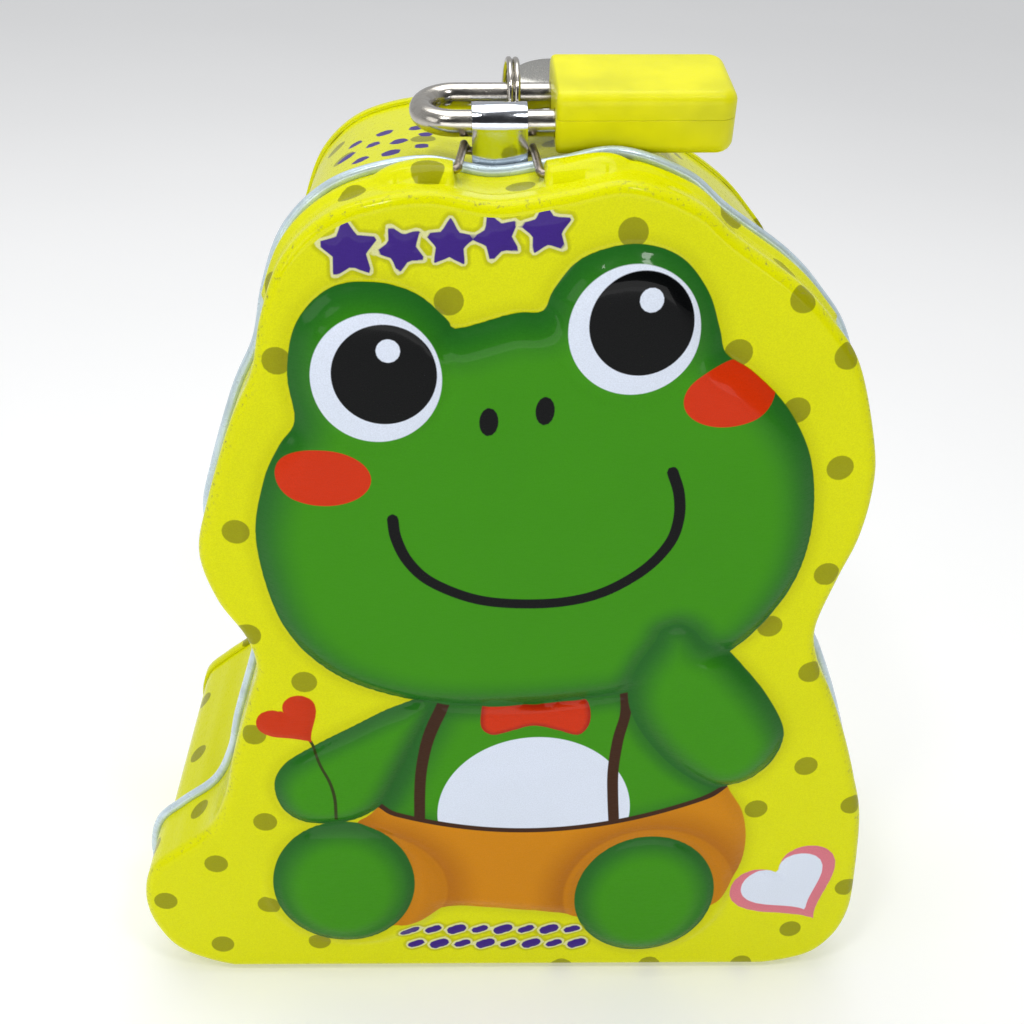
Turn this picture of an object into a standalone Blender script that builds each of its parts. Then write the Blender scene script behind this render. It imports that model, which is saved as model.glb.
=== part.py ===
"""Tin money box with a hinged front lid, a wire bail, a rolled hasp and a small padlock with keys.

The frame has X to the right, Y away from the lid's face and Z up, with the origin under the middle
of the box at the level it stands on. Lengths below are in millimetres and MM turns them into metres.
"""

import math

import bmesh
import bpy
from mathutils import Matrix, Vector

MM = 0.001

# ---- Driving dimensions ------------------------------------------------------------------------

DEPTH = 61.2  # lid face to the back seam
SHEET = 0.35  # tinplate of the lid and the body
THIN = 0.3  # curls, straps and the back panel
GAP = 0.3  # between pieces that touch on the real box
LID_SKIRT = 14.4  # lid face to the back of its bead
LID_EDGE_RADIUS = 1.8
BEAD_RADIUS = 0.85
BEAD_OUT = 0.5  # bead centre outside the lid's outer surface
BODY_INSET = 1.2  # body surface inside the lid's outer surface
LID_OVERLAP = 2.8  # length of body inside the lid
BACK_DISH = 2.2
BACK_FOLD = 2.6  # length of the seam's fold along the wall
FLOOR_LIFT = BEAD_OUT + BEAD_RADIUS  # the bead is the lowest point

LID_FACE_Y = -DEPTH / 2
BEAD_Y = LID_FACE_Y + LID_SKIRT - BEAD_RADIUS
BODY_FRONT_Y = LID_FACE_Y + LID_SKIRT - LID_OVERLAP
BACK_Y = DEPTH / 2
HINGE_Z = FLOOR_LIFT - BEAD_OUT

STRAP_X = 34.0
STRAP_SIDES = (("left", -STRAP_X), ("right", STRAP_X))
STRAP_WIDTH = 7.0
STRAP_TAIL = 12.0  # reach behind the pin
PIN_RADIUS = 0.26
PIN_HALF_LENGTH = 44.0

COIN_SLOT = (5.0, 15.0)  # x and y of its middle
COIN_SLOT_SIZE = (34.0, 4.6)

WIRE_RADIUS = 0.57  # bail
SHACKLE_RADIUS = 1.82
BARREL_X = (-11.5, -3.8)
BARREL_Y = LID_FACE_Y + 17.7
BARREL_Z = 151.8 + FLOOR_LIFT
BARREL_BORE = 2.47
HASP_SHEET = 0.4
HASP_FOOT = 10.0  # length of the foot, behind the upright
HASP_BEND = 0.8
RIVET_X = (sum(BARREL_X) / 2 - 2.0, sum(BARREL_X) / 2 + 2.0)
RIVET_BEHIND = 7.0  # from the upright
RIVET_RADIUS = 0.7
RIVET_HEAD = 1.3
RIVET_CLEARANCE = 0.25

BOSS_Y = (LID_FACE_Y + 5.6, LID_FACE_Y + 11.0)
BOSS_X = {"left": (-20.6, -13.9), "right": (-1.6, 5.4)}
BOSS_COVER = 0.8  # above the wire
HOOK_X = (-13.3, -2.3)
HOOK_Y = LID_FACE_Y + 8.3
HOOK_LENGTH = 2.2
LEG_ROOM = GAP + WIRE_RADIUS + 0.1  # from the hasp's edge to the middle of the wire

LATCH_ROLL = math.radians(3.2)  # the hasp and padlock follow the slope of the wall's top
LEG_SPACING = 9.4
PADLOCK_TILT = math.radians(10.8)
CASE_LENGTH = 25.2
CASE_WIDTH = 15.7
CASE_THICK = 8.9
CASE_RISE = 0.85  # of its middle above the legs
PARTING = 1.6
CASE_START = 0.0
CASE_ROUND = 2.2
COVER_WALL = 0.7
CORE_GAP = 0.2
CASE_MIDDLE = LEG_SPACING / 2
SHACKLE_STRAIGHT_END = -13.75
TOE_END = 5.5
HEEL_END = 13.5
NOTCH = [(1.3, 0.55), (3.0, 0.55), (5.6, 1.07), (5.6, 2.6), (1.3, 2.6)]  # ramp in the toe leg
PLUG_RADIUS = 1.7
PLUG_START = 8.3
PLUG_END = CASE_START + CASE_LENGTH - 0.25
DRIVE_PIN_OFFSET = 1.1
DRIVE_PIN_RADIUS = 0.45
LATCH_HALF = 0.8  # half its thickness
LATCH_ROOM = 0.3

RING_RADIUS = 5.5
RING_WIRE = 0.45
RING_PITCH = 1.0
RING_X = -5.4
KEY_TILT = math.radians(18.0)
KEY_THICK = 1.0
BOW_RADIUS = 7.8
KEY_HOLE_RADIUS = 1.55
BOW_MIDDLE = (6.8, 3.6)  # from the hole's middle
BLADE = (1.2, 6.0)  # its two edges
BLADE_START = BOW_MIDDLE[0] + BOW_RADIUS
BLADE_END = BLADE_START + 13.0
TOOTH_PITCH = 2.4
TOOTH_DEPTHS = (1.3, 0.8, 1.6, 1.0)

# Half-turn of the lid's outline from the right end of the straight bottom edge, up over the top and
# down to its left end: x and height above that edge.
OUTLINE = [
    (50.0, 0.0), (58.6, 2.5), (63.0, 7.6), (64.75, 14.5), (64.3, 23.0), (62.3, 38.0),
    (59.3, 47.6), (55.7, 57.0), (51.7, 65.8), (48.3, 72.2), (46.6, 79.0), (48.4, 88.5),
    (50.3, 96.0), (50.8, 104.0), (49.7, 111.5), (45.0, 124.2), (39.9, 130.8), (34.0, 136.2),
    (24.4, 142.2), (18.3, 146.6), (9.0, 149.2), (0.5, 147.4), (-8.5, 145.6), (-17.5, 146.6),
    (-26.0, 144.8), (-32.0, 141.6), (-36.8, 136.0), (-39.6, 128.0), (-41.2, 120.0),
    (-44.6, 112.0), (-48.6, 99.0), (-50.3, 90.4), (-48.2, 82.2), (-44.2, 75.2), (-42.8, 69.0),
    (-44.4, 62.4), (-47.7, 50.0), (-49.4, 41.8), (-52.7, 34.4), (-59.0, 28.8), (-63.3, 24.4),
    (-64.75, 17.6), (-63.4, 10.6), (-59.2, 4.2), (-50.0, 0.0),
]
SPAN_STEPS = 2
BOTTOM_STEPS = 12


# ---- Helpers -----------------------------------------------------------------------------------


def clear_scene():
    for obj in list(bpy.data.objects):
        bpy.data.objects.remove(obj)


def new_collection(name):
    collection = bpy.data.collections.new(name)
    bpy.context.scene.collection.children.link(collection)
    return collection


clear_scene()
PARTS = new_collection("tin_money_box")
CUTTERS = new_collection("cutters")


def material(name, colour, roughness, metallic=0.0):
    made = bpy.data.materials.new(name)
    made.use_nodes = True
    shader = made.node_tree.nodes["Principled BSDF"]
    shader.inputs["Base Color"].default_value = (*colour, 1.0)
    shader.inputs["Roughness"].default_value = roughness
    shader.inputs["Metallic"].default_value = metallic
    return made


def add_object(name, mesh, finish=None, collection=PARTS):
    obj = bpy.data.objects.new(name, mesh)
    collection.objects.link(obj)
    if finish is not None:
        mesh.materials.append(finish)
    return obj


def mesh_from(name, points, faces):
    """A mesh from points in millimetres."""
    mesh = bpy.data.meshes.new(name)
    mesh.from_pydata([Vector(point) * MM for point in points], [], faces)
    mesh.update()
    return mesh


def smooth(obj, angle=35.0):
    obj.data.shade_smooth()
    obj.data.set_sharp_from_angle(angle=math.radians(angle))


def solidify(obj, thickness, offset):
    shell = obj.modifiers.new("Thickness", "SOLIDIFY")
    shell.thickness = thickness * MM
    shell.offset = offset
    shell.use_even_offset = True


def bake(obj):
    """Turns an object with modifiers, or a curve, into a plain mesh object in the same place."""
    bpy.context.view_layer.update()
    graph = bpy.context.evaluated_depsgraph_get()
    mesh = bpy.data.meshes.new_from_object(obj.evaluated_get(graph))
    work = bmesh.new()
    work.from_mesh(mesh)
    bmesh.ops.remove_doubles(work, verts=work.verts, dist=1e-7)
    bmesh.ops.recalc_face_normals(work, faces=work.faces)
    work.to_mesh(mesh)
    work.free()
    name = obj.name
    collection = obj.users_collection[0]
    parent = obj.parent
    matrix = obj.matrix_world.copy()
    bpy.data.objects.remove(obj)
    baked = add_object(name, mesh, None, collection)
    baked.parent = parent
    baked.matrix_world = matrix
    return baked


def as_cutter(obj):
    obj.hide_render = True
    obj.display_type = "WIRE"
    return obj


def boolean(obj, other, operation="DIFFERENCE"):
    step = obj.modifiers.new(operation.title(), "BOOLEAN")
    step.operation = operation
    step.solver = "EXACT"
    step.object = other


def box(name, low, high, finish=None, collection=CUTTERS, parent=None, bevel=0.0, segments=3):
    """A box between two corners, in the parent's frame when there is one."""
    work = bmesh.new()
    bmesh.ops.create_cube(work, size=1.0)
    size = [(b - a) * MM for a, b in zip(low, high)]
    middle = [(a + b) / 2 * MM for a, b in zip(low, high)]
    bmesh.ops.scale(work, vec=size, verts=work.verts)
    mesh = bpy.data.meshes.new(name)
    work.to_mesh(mesh)
    work.free()
    obj = add_object(name, mesh, finish, collection)
    obj.parent = parent
    obj.location = middle
    if bevel:
        edge = obj.modifiers.new("Edges", "BEVEL")
        edge.width = bevel * MM
        edge.segments = segments
    if collection is CUTTERS:
        as_cutter(obj)
    return obj


def cylinder(name, start, axis, length, radius, finish=None, collection=CUTTERS, parent=None, sides=20):
    """A cylinder from a start point along an axis, in the parent's frame when there is one."""
    work = bmesh.new()
    bmesh.ops.create_cone(
        work, cap_ends=True, segments=sides, radius1=radius * MM, radius2=radius * MM,
        depth=length * MM,
    )
    mesh = bpy.data.meshes.new(name)
    work.to_mesh(mesh)
    work.free()
    obj = add_object(name, mesh, finish, collection)
    direction = Vector(axis).normalized()
    obj.parent = parent
    obj.location = (Vector(start) + direction * (length / 2)) * MM
    obj.rotation_mode = "QUATERNION"
    obj.rotation_quaternion = direction.to_track_quat("Z", "Y")
    if collection is CUTTERS:
        as_cutter(obj)
    else:
        smooth(obj)
    return obj


def wire(name, points, radius, finish, parent=None, resolution=2):
    """A round wire along straight steps between points."""
    curve = bpy.data.curves.new(name, "CURVE")
    curve.dimensions = "3D"
    curve.bevel_depth = radius * MM
    curve.bevel_resolution = resolution
    curve.use_fill_caps = True
    spline = curve.splines.new("POLY")
    spline.points.add(len(points) - 1)
    for slot, point in zip(spline.points, points):
        slot.co = (*(Vector(point) * MM), 1.0)
    curve.materials.append(finish)
    obj = bpy.data.objects.new(name, curve)
    PARTS.objects.link(obj)
    obj.parent = parent
    return obj


def arc(centre, radius, start, end, steps):
    """Points of a circular arc in a plane, angles in degrees."""
    angles = [math.radians(start + (end - start) * i / steps) for i in range(steps + 1)]
    return [(centre[0] + radius * math.cos(a), centre[1] + radius * math.sin(a)) for a in angles]


def catmull_rom(before, start, end, after, t):
    """A point between start and end on the smooth curve through four points."""
    point = []
    for a, b, c, d in zip(before, start, end, after):
        linear = (c - a) * t
        square = (2 * a - 5 * b + 4 * c - d) * t ** 2
        cube = (3 * b - a - 3 * c + d) * t ** 3
        point.append(b + (linear + square + cube) / 2)
    return tuple(point)


def lid_outline():
    """The closed outline of the lid, anticlockwise seen from the front, as x and height."""
    first = (2 * OUTLINE[0][0] - OUTLINE[1][0], 0.0)
    last = (2 * OUTLINE[-1][0] - OUTLINE[-2][0], 0.0)
    knots = [first, *OUTLINE, last]
    points = []
    for i in range(1, len(knots) - 2):
        for k in range(SPAN_STEPS):
            points.append(catmull_rom(*knots[i - 1 : i + 3], k / SPAN_STEPS))
    left, right = OUTLINE[-1][0], OUTLINE[0][0]
    points += [(left + (right - left) * i / BOTTOM_STEPS, 0.0) for i in range(BOTTOM_STEPS)]
    return points


def ring_at(outline, outward, y):
    """The outline moved outward by a distance, as points in space at one depth."""
    count = len(outline)
    points = []
    for i, (x, z) in enumerate(outline):
        before, after = outline[i - 1], outline[(i + 1) % count]
        along = Vector((after[0] - before[0], after[1] - before[1])).normalized()
        points.append((x + along.y * outward, y, z - along.x * outward + FLOOR_LIFT))
    return points


def swept(name, outline, profile, first_cap=False, last_cap=False):
    """An open surface through the outline at each (outward, y) of the profile."""
    count = len(outline)
    points = []
    for outward, y in profile:
        points += ring_at(outline, outward, y)
    faces = []
    for row in range(len(profile) - 1):
        for i in range(count):
            j = (i + 1) % count
            a, b = row * count, (row + 1) * count
            faces.append((a + i, a + j, b + j, b + i))
    if first_cap:
        faces.append(tuple(reversed(range(count))))
    if last_cap:
        start = (len(profile) - 1) * count
        faces.append(tuple(range(start, start + count)))
    return mesh_from(name, points, faces)


def strip(name, path, ends_x, finish):
    """A flat strip along a path of (y, z), between two x."""
    points = []
    for y, z in path:
        points += [(ends_x[0], y, z), (ends_x[1], y, z)]
    faces = [(2 * i, 2 * i + 1, 2 * i + 3, 2 * i + 2) for i in range(len(path) - 1)]
    return add_object(name, mesh_from(name, points, faces), finish)


def outline_height(outline, x):
    """Height of the outline's top at x."""
    best = 0.0
    for (x0, z0), (x1, z1) in zip(outline, outline[1:]):
        if min(x0, x1) <= x <= max(x0, x1) and x0 != x1:
            best = max(best, z0 + (z1 - z0) * (x - x0) / (x1 - x0))
    return best + FLOOR_LIFT


LID = lid_outline()
HOOK_Z = outline_height(LID, HOOK_X[1]) + WIRE_RADIUS + GAP
WALL_TOP = max(outline_height(LID, x) for x in BARREL_X) - BODY_INSET
FOOT_Z = WALL_TOP + GAP + HASP_SHEET / 2

YELLOW = material("yellow_tin", (0.68, 0.72, 0.01), 0.28)
STEEL = material("nickel_plate", (0.72, 0.70, 0.66), 0.22, 1.0)
CHROME = material("chrome", (0.8, 0.82, 0.84), 0.1, 1.0)
ZINC = material("zinc_casting", (0.55, 0.56, 0.57), 0.45, 1.0)
BRASS = material("brass", (0.78, 0.6, 0.28), 0.3, 1.0)
PLASTIC = material("yellow_plastic", (0.75, 0.76, 0.01), 0.4)


# ---- Box ---------------------------------------------------------------------------------------


def make_body_wall():
    """The can's wall, open at the front, with the coin slot in its top."""
    profile = [(-BODY_INSET, BACK_Y - THIN - GAP), (-BODY_INSET, BODY_FRONT_Y)]
    wall = add_object("body_wall", swept("body_wall", LID, profile), YELLOW)
    solidify(wall, SHEET, -1.0)
    x, y = COIN_SLOT
    length, width = COIN_SLOT_SIZE
    low = (x - length / 2, y - width / 2, WALL_TOP - 14)
    high = (x + length / 2, y + width / 2, WALL_TOP + 6)
    slot = box("coin_slot_cutter", low, high)
    boolean(wall, slot)
    smooth(wall)
    return wall


def make_back_panel():
    """The back, dished inside the wall and folded round its rear edge."""
    inside = -BODY_INSET - SHEET - GAP - THIN / 2
    outside = -BODY_INSET + GAP + THIN / 2
    rear = BACK_Y - THIN / 2
    dish = rear - BACK_DISH
    fold = rear - BACK_FOLD
    profile = [(inside, dish), (inside, rear), (outside, rear), (outside, fold)]
    panel = add_object("back_panel", swept("back_panel", LID, profile, first_cap=True), YELLOW)
    solidify(panel, THIN, 0.0)
    smooth(panel)
    return panel


def make_front_lid():
    """The pressed lid: flat face, rounded edge, skirt and a curled bead, with hinge cut-outs."""
    middle = -SHEET / 2
    edge = LID_EDGE_RADIUS - SHEET / 2
    centre = (middle - edge, LID_FACE_Y + SHEET / 2 + edge)
    rounding = [
        (centre[0] + edge * math.sin(a), centre[1] - edge * math.cos(a))
        for a in [math.radians(v) for v in (0, 30, 60, 90)]
    ]
    curl_radius = BEAD_RADIUS - THIN / 2
    curl = arc((BEAD_OUT, BEAD_Y), curl_radius, 140, -100, 6)
    profile = [*rounding, (middle, BEAD_Y), *curl]
    lid = add_object("front_lid", swept("front_lid", LID, profile, first_cap=True), YELLOW)
    solidify(lid, THIN, 0.0)
    half = STRAP_WIDTH / 2 + 0.5
    for side, x in STRAP_SIDES:
        low = (x - half, BEAD_Y - 1.4, -1.0)
        high = (x + half, BEAD_Y + 2.0, FLOOR_LIFT + 0.9)
        boolean(lid, box(f"hinge_cutout_{side}", low, high))
    lid = bake(lid)
    crown = HOOK_Z + WIRE_RADIUS + BOSS_COVER
    for side, (low, high) in BOSS_X.items():
        base = min(outline_height(LID, low), outline_height(LID, high)) - 0.25
        boss = box(f"boss_{side}", (low, BOSS_Y[0], base), (high, BOSS_Y[1], crown))
        boolean(lid, boss, "UNION")
    for side, x, sign in (("left", HOOK_X[0], -1), ("right", HOOK_X[1], 1)):
        start = (x - sign, HOOK_Y, HOOK_Z)
        length = 2 * HOOK_LENGTH
        hole = cylinder(f"hook_hole_{side}", start, (sign, 0, 0), length, WIRE_RADIUS + GAP, sides=12)
        boolean(lid, hole)
    lid = bake(lid)
    lid.data.materials.clear()
    lid.data.materials.append(YELLOW)
    smooth(lid)
    return lid


def make_hinge():
    """Two straps under the body, each wrapped round a pin that runs through the lid's bottom bead."""
    pin_line = [(-PIN_HALF_LENGTH, BEAD_Y, HINGE_Z), (PIN_HALF_LENGTH, BEAD_Y, HINGE_Z)]
    wire("hinge_pin", pin_line, PIN_RADIUS, STEEL)
    loop_radius = BEAD_RADIUS - THIN / 2
    loop = arc((BEAD_Y, HINGE_Z), loop_radius, -30, -270, 10)
    under_body = FLOOR_LIFT + BODY_INSET - GAP - THIN / 2
    tail = [(BEAD_Y + 1.5, under_body), (BEAD_Y + STRAP_TAIL, under_body)]
    for side, x in STRAP_SIDES:
        width = (x - STRAP_WIDTH / 2, x + STRAP_WIDTH / 2)
        strap = strip(f"hinge_strap_{side}", [*loop, *tail], width, STEEL)
        solidify(strap, THIN, 0.0)
        smooth(strap)


def make_hasp():
    """A riveted foot on the body's top, an upright and a barrel rolled at its upper edge."""
    roll = BARREL_BORE + HASP_SHEET / 2
    barrel = arc((BARREL_Y, BARREL_Z), roll, 195, -150, 16)
    front = BARREL_Y - roll
    foot = [(front + HASP_FOOT, FOOT_Z), (front + HASP_BEND, FOOT_Z), (front, FOOT_Z + HASP_BEND)]
    hasp = strip("hasp_plate", [*foot, *barrel], BARREL_X, CHROME)
    middle = Vector((sum(BARREL_X) / 2, BARREL_Y, BARREL_Z)) * MM
    roll_back = Matrix.Rotation(-LATCH_ROLL, 4, "Y")
    hasp.matrix_world = Matrix.Translation(middle) @ roll_back @ Matrix.Translation(-middle)
    solidify(hasp, HASP_SHEET, 0.0)
    for side, x in zip(("left", "right"), RIVET_X):
        start = (x, front + RIVET_BEHIND, FOOT_Z - 3.0)
        radius = RIVET_RADIUS + RIVET_CLEARANCE
        hole = cylinder(f"rivet_hole_{side}", start, (0, 0, 1), 6.0, radius, sides=12)
        boolean(hasp, hole)
        boolean(bpy.data.objects["body_wall"], hole)
        make_rivet(f"hasp_rivet_{side}", x, front + RIVET_BEHIND)
    smooth(hasp)


def make_rivet(name, x, y):
    """A turned rivet: a domed head above the foot and a swaged tail inside the wall."""
    top = FOOT_Z + HASP_SHEET / 2 + RIVET_CLEARANCE
    bottom = FOOT_Z - HASP_SHEET / 2 - GAP - SHEET - 0.75
    profile = [
        (0.0, top + 0.55), (0.7, top + 0.45), (RIVET_HEAD, top), (RIVET_RADIUS, top),
        (RIVET_RADIUS, bottom), (RIVET_HEAD, bottom), (0.8, bottom - 0.4), (0.0, bottom - 0.45),
    ]
    points = [Vector((radius, 0.0, z)) * MM for radius, z in profile]
    mesh = bpy.data.meshes.new(name)
    mesh.from_pydata(points, [(i, i + 1) for i in range(len(points) - 1)], [])
    rivet = add_object(name, mesh, STEEL)
    rivet.location = Vector((x, y, 0.0)) * MM
    turn = rivet.modifiers.new("Turn", "SCREW")
    turn.axis = "Z"
    turn.steps = 12
    turn.render_steps = 12
    turn.use_merge_vertices = True
    turn.merge_threshold = 0.00001
    turn.use_smooth_shade = True


def make_bail():
    """The wire loop: outward hooks in the lid's bosses, legs over the bead, bar behind the hasp."""
    bar_y = BARREL_Y + 0.3
    bar_z = BARREL_Z - BARREL_BORE - HASP_SHEET - GAP - WIRE_RADIUS - 0.3
    points = []
    for hook_x, leg_x, out in (
        (HOOK_X[0], BARREL_X[0] - LEG_ROOM, -1),
        (HOOK_X[1], BARREL_X[1] + LEG_ROOM, 1),
    ):
        half = [
            (hook_x + out * HOOK_LENGTH, HOOK_Y, HOOK_Z),
            (hook_x + out * 0.4, HOOK_Y, HOOK_Z),
            (hook_x, HOOK_Y + 0.45, HOOK_Z + 0.15),
            (leg_x, BEAD_Y, bar_z + 0.8),
            (leg_x, bar_y - 1.6, bar_z + 1.15),
            (leg_x, bar_y - 0.7, bar_z + 1.0),
            (leg_x - out * 0.4, bar_y - 0.15, bar_z + 0.4),
            (leg_x - out * 0.9, bar_y, bar_z),
        ]
        points += half if out < 0 else reversed(half)
    wire("latch_bail", points, WIRE_RADIUS, STEEL)


# ---- Padlock, in its own frame: x along the shackle, y from front leg to rear leg, z its thickness


LOCK_Z = BARREL_Z - sum(BARREL_X) / 2 * math.tan(LATCH_ROLL)


def padlock_frame():
    frame = bpy.data.objects.new("padlock_frame", None)
    PARTS.objects.link(frame)
    frame.location = Vector((0.0, BARREL_Y, LOCK_Z)) * MM
    frame.rotation_euler = (PADLOCK_TILT, -LATCH_ROLL, 0.0)
    return frame


def make_shackle(frame):
    """A round U: the long heel leg at the rear and the notched toe leg through the barrel."""
    bend = LEG_SPACING / 2
    points = [(TOE_END, 0.0, 0.0), (SHACKLE_STRAIGHT_END, 0.0, 0.0)]
    for x, y in arc((SHACKLE_STRAIGHT_END, bend), bend, -90, -270, 12)[1:-1]:
        points.append((x, y, 0.0))
    points += [(SHACKLE_STRAIGHT_END, LEG_SPACING, 0.0), (HEEL_END, LEG_SPACING, 0.0)]
    shackle = wire("shackle", points, SHACKLE_RADIUS, STEEL, frame, resolution=4)
    shackle = bake(shackle)
    shackle.data.materials.clear()
    shackle.data.materials.append(STEEL)
    notch_points = []
    for z in (-2.6, 2.6):
        notch_points += [(x, y, z) for x, y in NOTCH]
    corners = len(NOTCH)
    faces = [tuple(reversed(range(corners))), tuple(range(corners, 2 * corners))]
    for i in range(corners):
        j = (i + 1) % corners
        faces.append((i, j, j + corners, i + corners))
    notch = add_object("toe_notch_cutter", mesh_from("toe_notch_cutter", notch_points, faces), None, CUTTERS)
    notch.parent = frame
    boolean(shackle, as_cutter(notch))
    smooth(shackle)


def leg_holes(prefix, frame, radius, toe_depth, heel_depth):
    """Cutters for the two round holes that take the shackle's legs."""
    toe = cylinder(f"{prefix}_toe_hole", (-4.0, 0, 0), (1, 0, 0), toe_depth + 4.0, radius, parent=frame)
    heel_start = (-4.0, LEG_SPACING, 0)
    heel = cylinder(f"{prefix}_heel_hole", heel_start, (1, 0, 0), heel_depth + 4.0, radius, parent=frame)
    return toe, heel


def case_box(name, frame, inset, collection, bevel, finish=None):
    """The case's block, drawn in by an inset on every side."""
    low = (
        CASE_START + inset,
        CASE_MIDDLE - CASE_WIDTH / 2 + inset,
        CASE_RISE - CASE_THICK / 2 + inset,
    )
    high = (
        CASE_START + CASE_LENGTH - inset,
        CASE_MIDDLE + CASE_WIDTH / 2 - inset,
        CASE_RISE + CASE_THICK / 2 - inset,
    )
    return box(name, low, high, finish, collection, frame, bevel)


def make_cover(frame):
    """Two plastic shells that meet at a parting line above the legs."""
    for half, low_z, high_z in (("upper", PARTING + 0.12, 9.0), ("lower", -9.0, PARTING - 0.12)):
        shell = case_box(f"padlock_cover_{half}", frame, 0.0, PARTS, CASE_ROUND, PLASTIC)
        hollow = case_box(f"{half}_hollow", frame, COVER_WALL, CUTTERS, 1.2)
        boolean(shell, hollow)
        for hole in leg_holes(half, frame, SHACKLE_RADIUS + 0.35, 3.0, 3.0):
            boolean(shell, hole)
        start = (18.0, CASE_MIDDLE, 0)
        radius = PLUG_RADIUS + 0.35
        boolean(shell, cylinder(f"{half}_key_mouth", start, (1, 0, 0), 12.0, radius, parent=frame))
        keep = box(f"{half}_keep", (-20, -20, low_z), (60, 40, high_z), parent=frame)
        boolean(shell, keep, "INTERSECT")
        smooth(shell)


def make_core(frame):
    """The cast block with the leg holes, the plug's bore and the latch's channel."""
    core = case_box("padlock_core", frame, COVER_WALL + CORE_GAP, PARTS, 0.9, ZINC)
    for hole in leg_holes("core", frame, SHACKLE_RADIUS + 0.3, 7.0, 19.2):
        boolean(core, hole)
    start = (3.6, CASE_MIDDLE, 0)
    bore = cylinder("plug_bore", start, (1, 0, 0), 30.0, PLUG_RADIUS + LATCH_ROOM, parent=frame)
    boolean(core, bore)
    half = LATCH_HALF + LATCH_ROOM
    boolean(core, box("latch_channel", (1.3, -0.4, -half), (3.1, 7.1, half), parent=frame))
    boolean(core, box("arm_passage", (2.9, 3.9, -half), (8.0, 7.1, half), parent=frame))
    smooth(core)


def make_plug(frame):
    """The key plug with its keyway and the off-centre drive pin at its inner end."""
    plug = cylinder(
        "lock_plug", (PLUG_START, CASE_MIDDLE, 0), (1, 0, 0), PLUG_END - PLUG_START, PLUG_RADIUS,
        BRASS, PARTS, frame,
    )
    start = (5.9, CASE_MIDDLE - DRIVE_PIN_OFFSET, 0)
    pin = cylinder("drive_pin", start, (1, 0, 0), 3.0, DRIVE_PIN_RADIUS, parent=frame, sides=12)
    boolean(plug, pin, "UNION")
    low = (12.0, CASE_MIDDLE - 0.45, -1.1)
    high = (30.0, CASE_MIDDLE + 0.45, 1.9)
    boolean(plug, box("keyway", low, high, parent=frame))


def make_latch(frame):
    """The sliding latch: a nose in the toe's notch and an arm that the drive pin pushes."""
    nose = box("lock_latch", (1.6, 0.85, -LATCH_HALF), (2.8, 5.4, LATCH_HALF), ZINC, PARTS, frame)
    arm = box("latch_arm", (2.2, 4.4, -LATCH_HALF), (7.4, 5.4, LATCH_HALF), parent=frame)
    boolean(nose, arm, "UNION")


def coil(start, axis, side, radius, length, turns, steps):
    """Points of a helix that starts at a point and runs along an axis."""
    along = Vector(axis)
    across = Vector(side)
    third = along.cross(across)
    points = []
    for i in range(turns * steps + 1):
        angle = 2 * math.pi * i / steps
        offset = across * (radius * math.cos(angle)) + third * (radius * math.sin(angle))
        points.append(Vector(start) + along * (length * i / (turns * steps)) + offset)
    return points


def make_springs(frame):
    shackle_coil = coil((HEEL_END + 0.45, LEG_SPACING, 0), (1, 0, 0), (0, 1, 0), 0.85, 4.6, 5, 8)
    wire("shackle_spring", shackle_coil, 0.17, STEEL, frame, resolution=1)
    latch_coil = coil((2.2, 5.55, 0), (0, 1, 0), (1, 0, 0), 0.55, 1.4, 2, 8)
    wire("latch_spring", latch_coil, 0.12, STEEL, frame, resolution=1)


# ---- Key ring and keys -------------------------------------------------------------------------

REAR_LEG_Y = BARREL_Y + LEG_SPACING * math.cos(PADLOCK_TILT)
REAR_LEG_Z = LOCK_Z + RING_X * math.sin(LATCH_ROLL) + LEG_SPACING * math.sin(PADLOCK_TILT)
RING_Y = REAR_LEG_Y + 2.6
RING_Z = REAR_LEG_Z - 1.1


def make_key_ring():
    """A split ring: two close turns of wire with tapered overlap, round the rear leg."""
    turns, steps = 2, 20
    points = []
    for i in range(turns * steps + 1):
        angle = 2 * math.pi * i / steps
        x = RING_X + RING_PITCH * (i / steps - turns / 2)
        points.append((x, RING_Y + RING_RADIUS * math.cos(angle), RING_Z + RING_RADIUS * math.sin(angle)))
    wire("key_ring", points, RING_WIRE, STEEL, resolution=1)


def make_key(name, ring_angle, swing):
    """A flat key hung on the ring at an angle: round bow with a ring hole, a blade with cut teeth."""
    hole = Vector((
        RING_X,
        RING_Y + RING_RADIUS * math.cos(ring_angle),
        RING_Z + RING_RADIUS * math.sin(ring_angle),
    ))
    frame = bpy.data.objects.new(f"{name}_frame", None)
    PARTS.objects.link(frame)
    frame.matrix_world = (
        Matrix.Translation(hole * MM) @ Matrix.Rotation(KEY_TILT, 4, "X") @ Matrix.Rotation(swing, 4, "Z")
    )
    half = KEY_THICK / 2
    middle = (*BOW_MIDDLE, -half)
    bow = cylinder(name, middle, (0, 0, 1), KEY_THICK, BOW_RADIUS, STEEL, PARTS, frame, 28)
    low = (BLADE_START - 1.5, BLADE[0], -half)
    high = (BLADE_END, BLADE[1], half)
    boolean(bow, box(f"{name}_blade", low, high, parent=frame), "UNION")
    for i, depth in enumerate(TOOTH_DEPTHS):
        x = BLADE_START + 3.0 + TOOTH_PITCH * i
        low = (x, BLADE[0] - TOOTH_PITCH, -2.0)
        high = (x + TOOTH_PITCH / 2, BLADE[0] + depth, 2.0)
        boolean(bow, box(f"{name}_cut_{i}", low, high, parent=frame))
    start = (0, 0, -3)
    eye = cylinder(f"{name}_eye", start, (0, 0, 1), 6.0, KEY_HOLE_RADIUS, parent=frame, sides=16)
    boolean(bow, eye)


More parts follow.
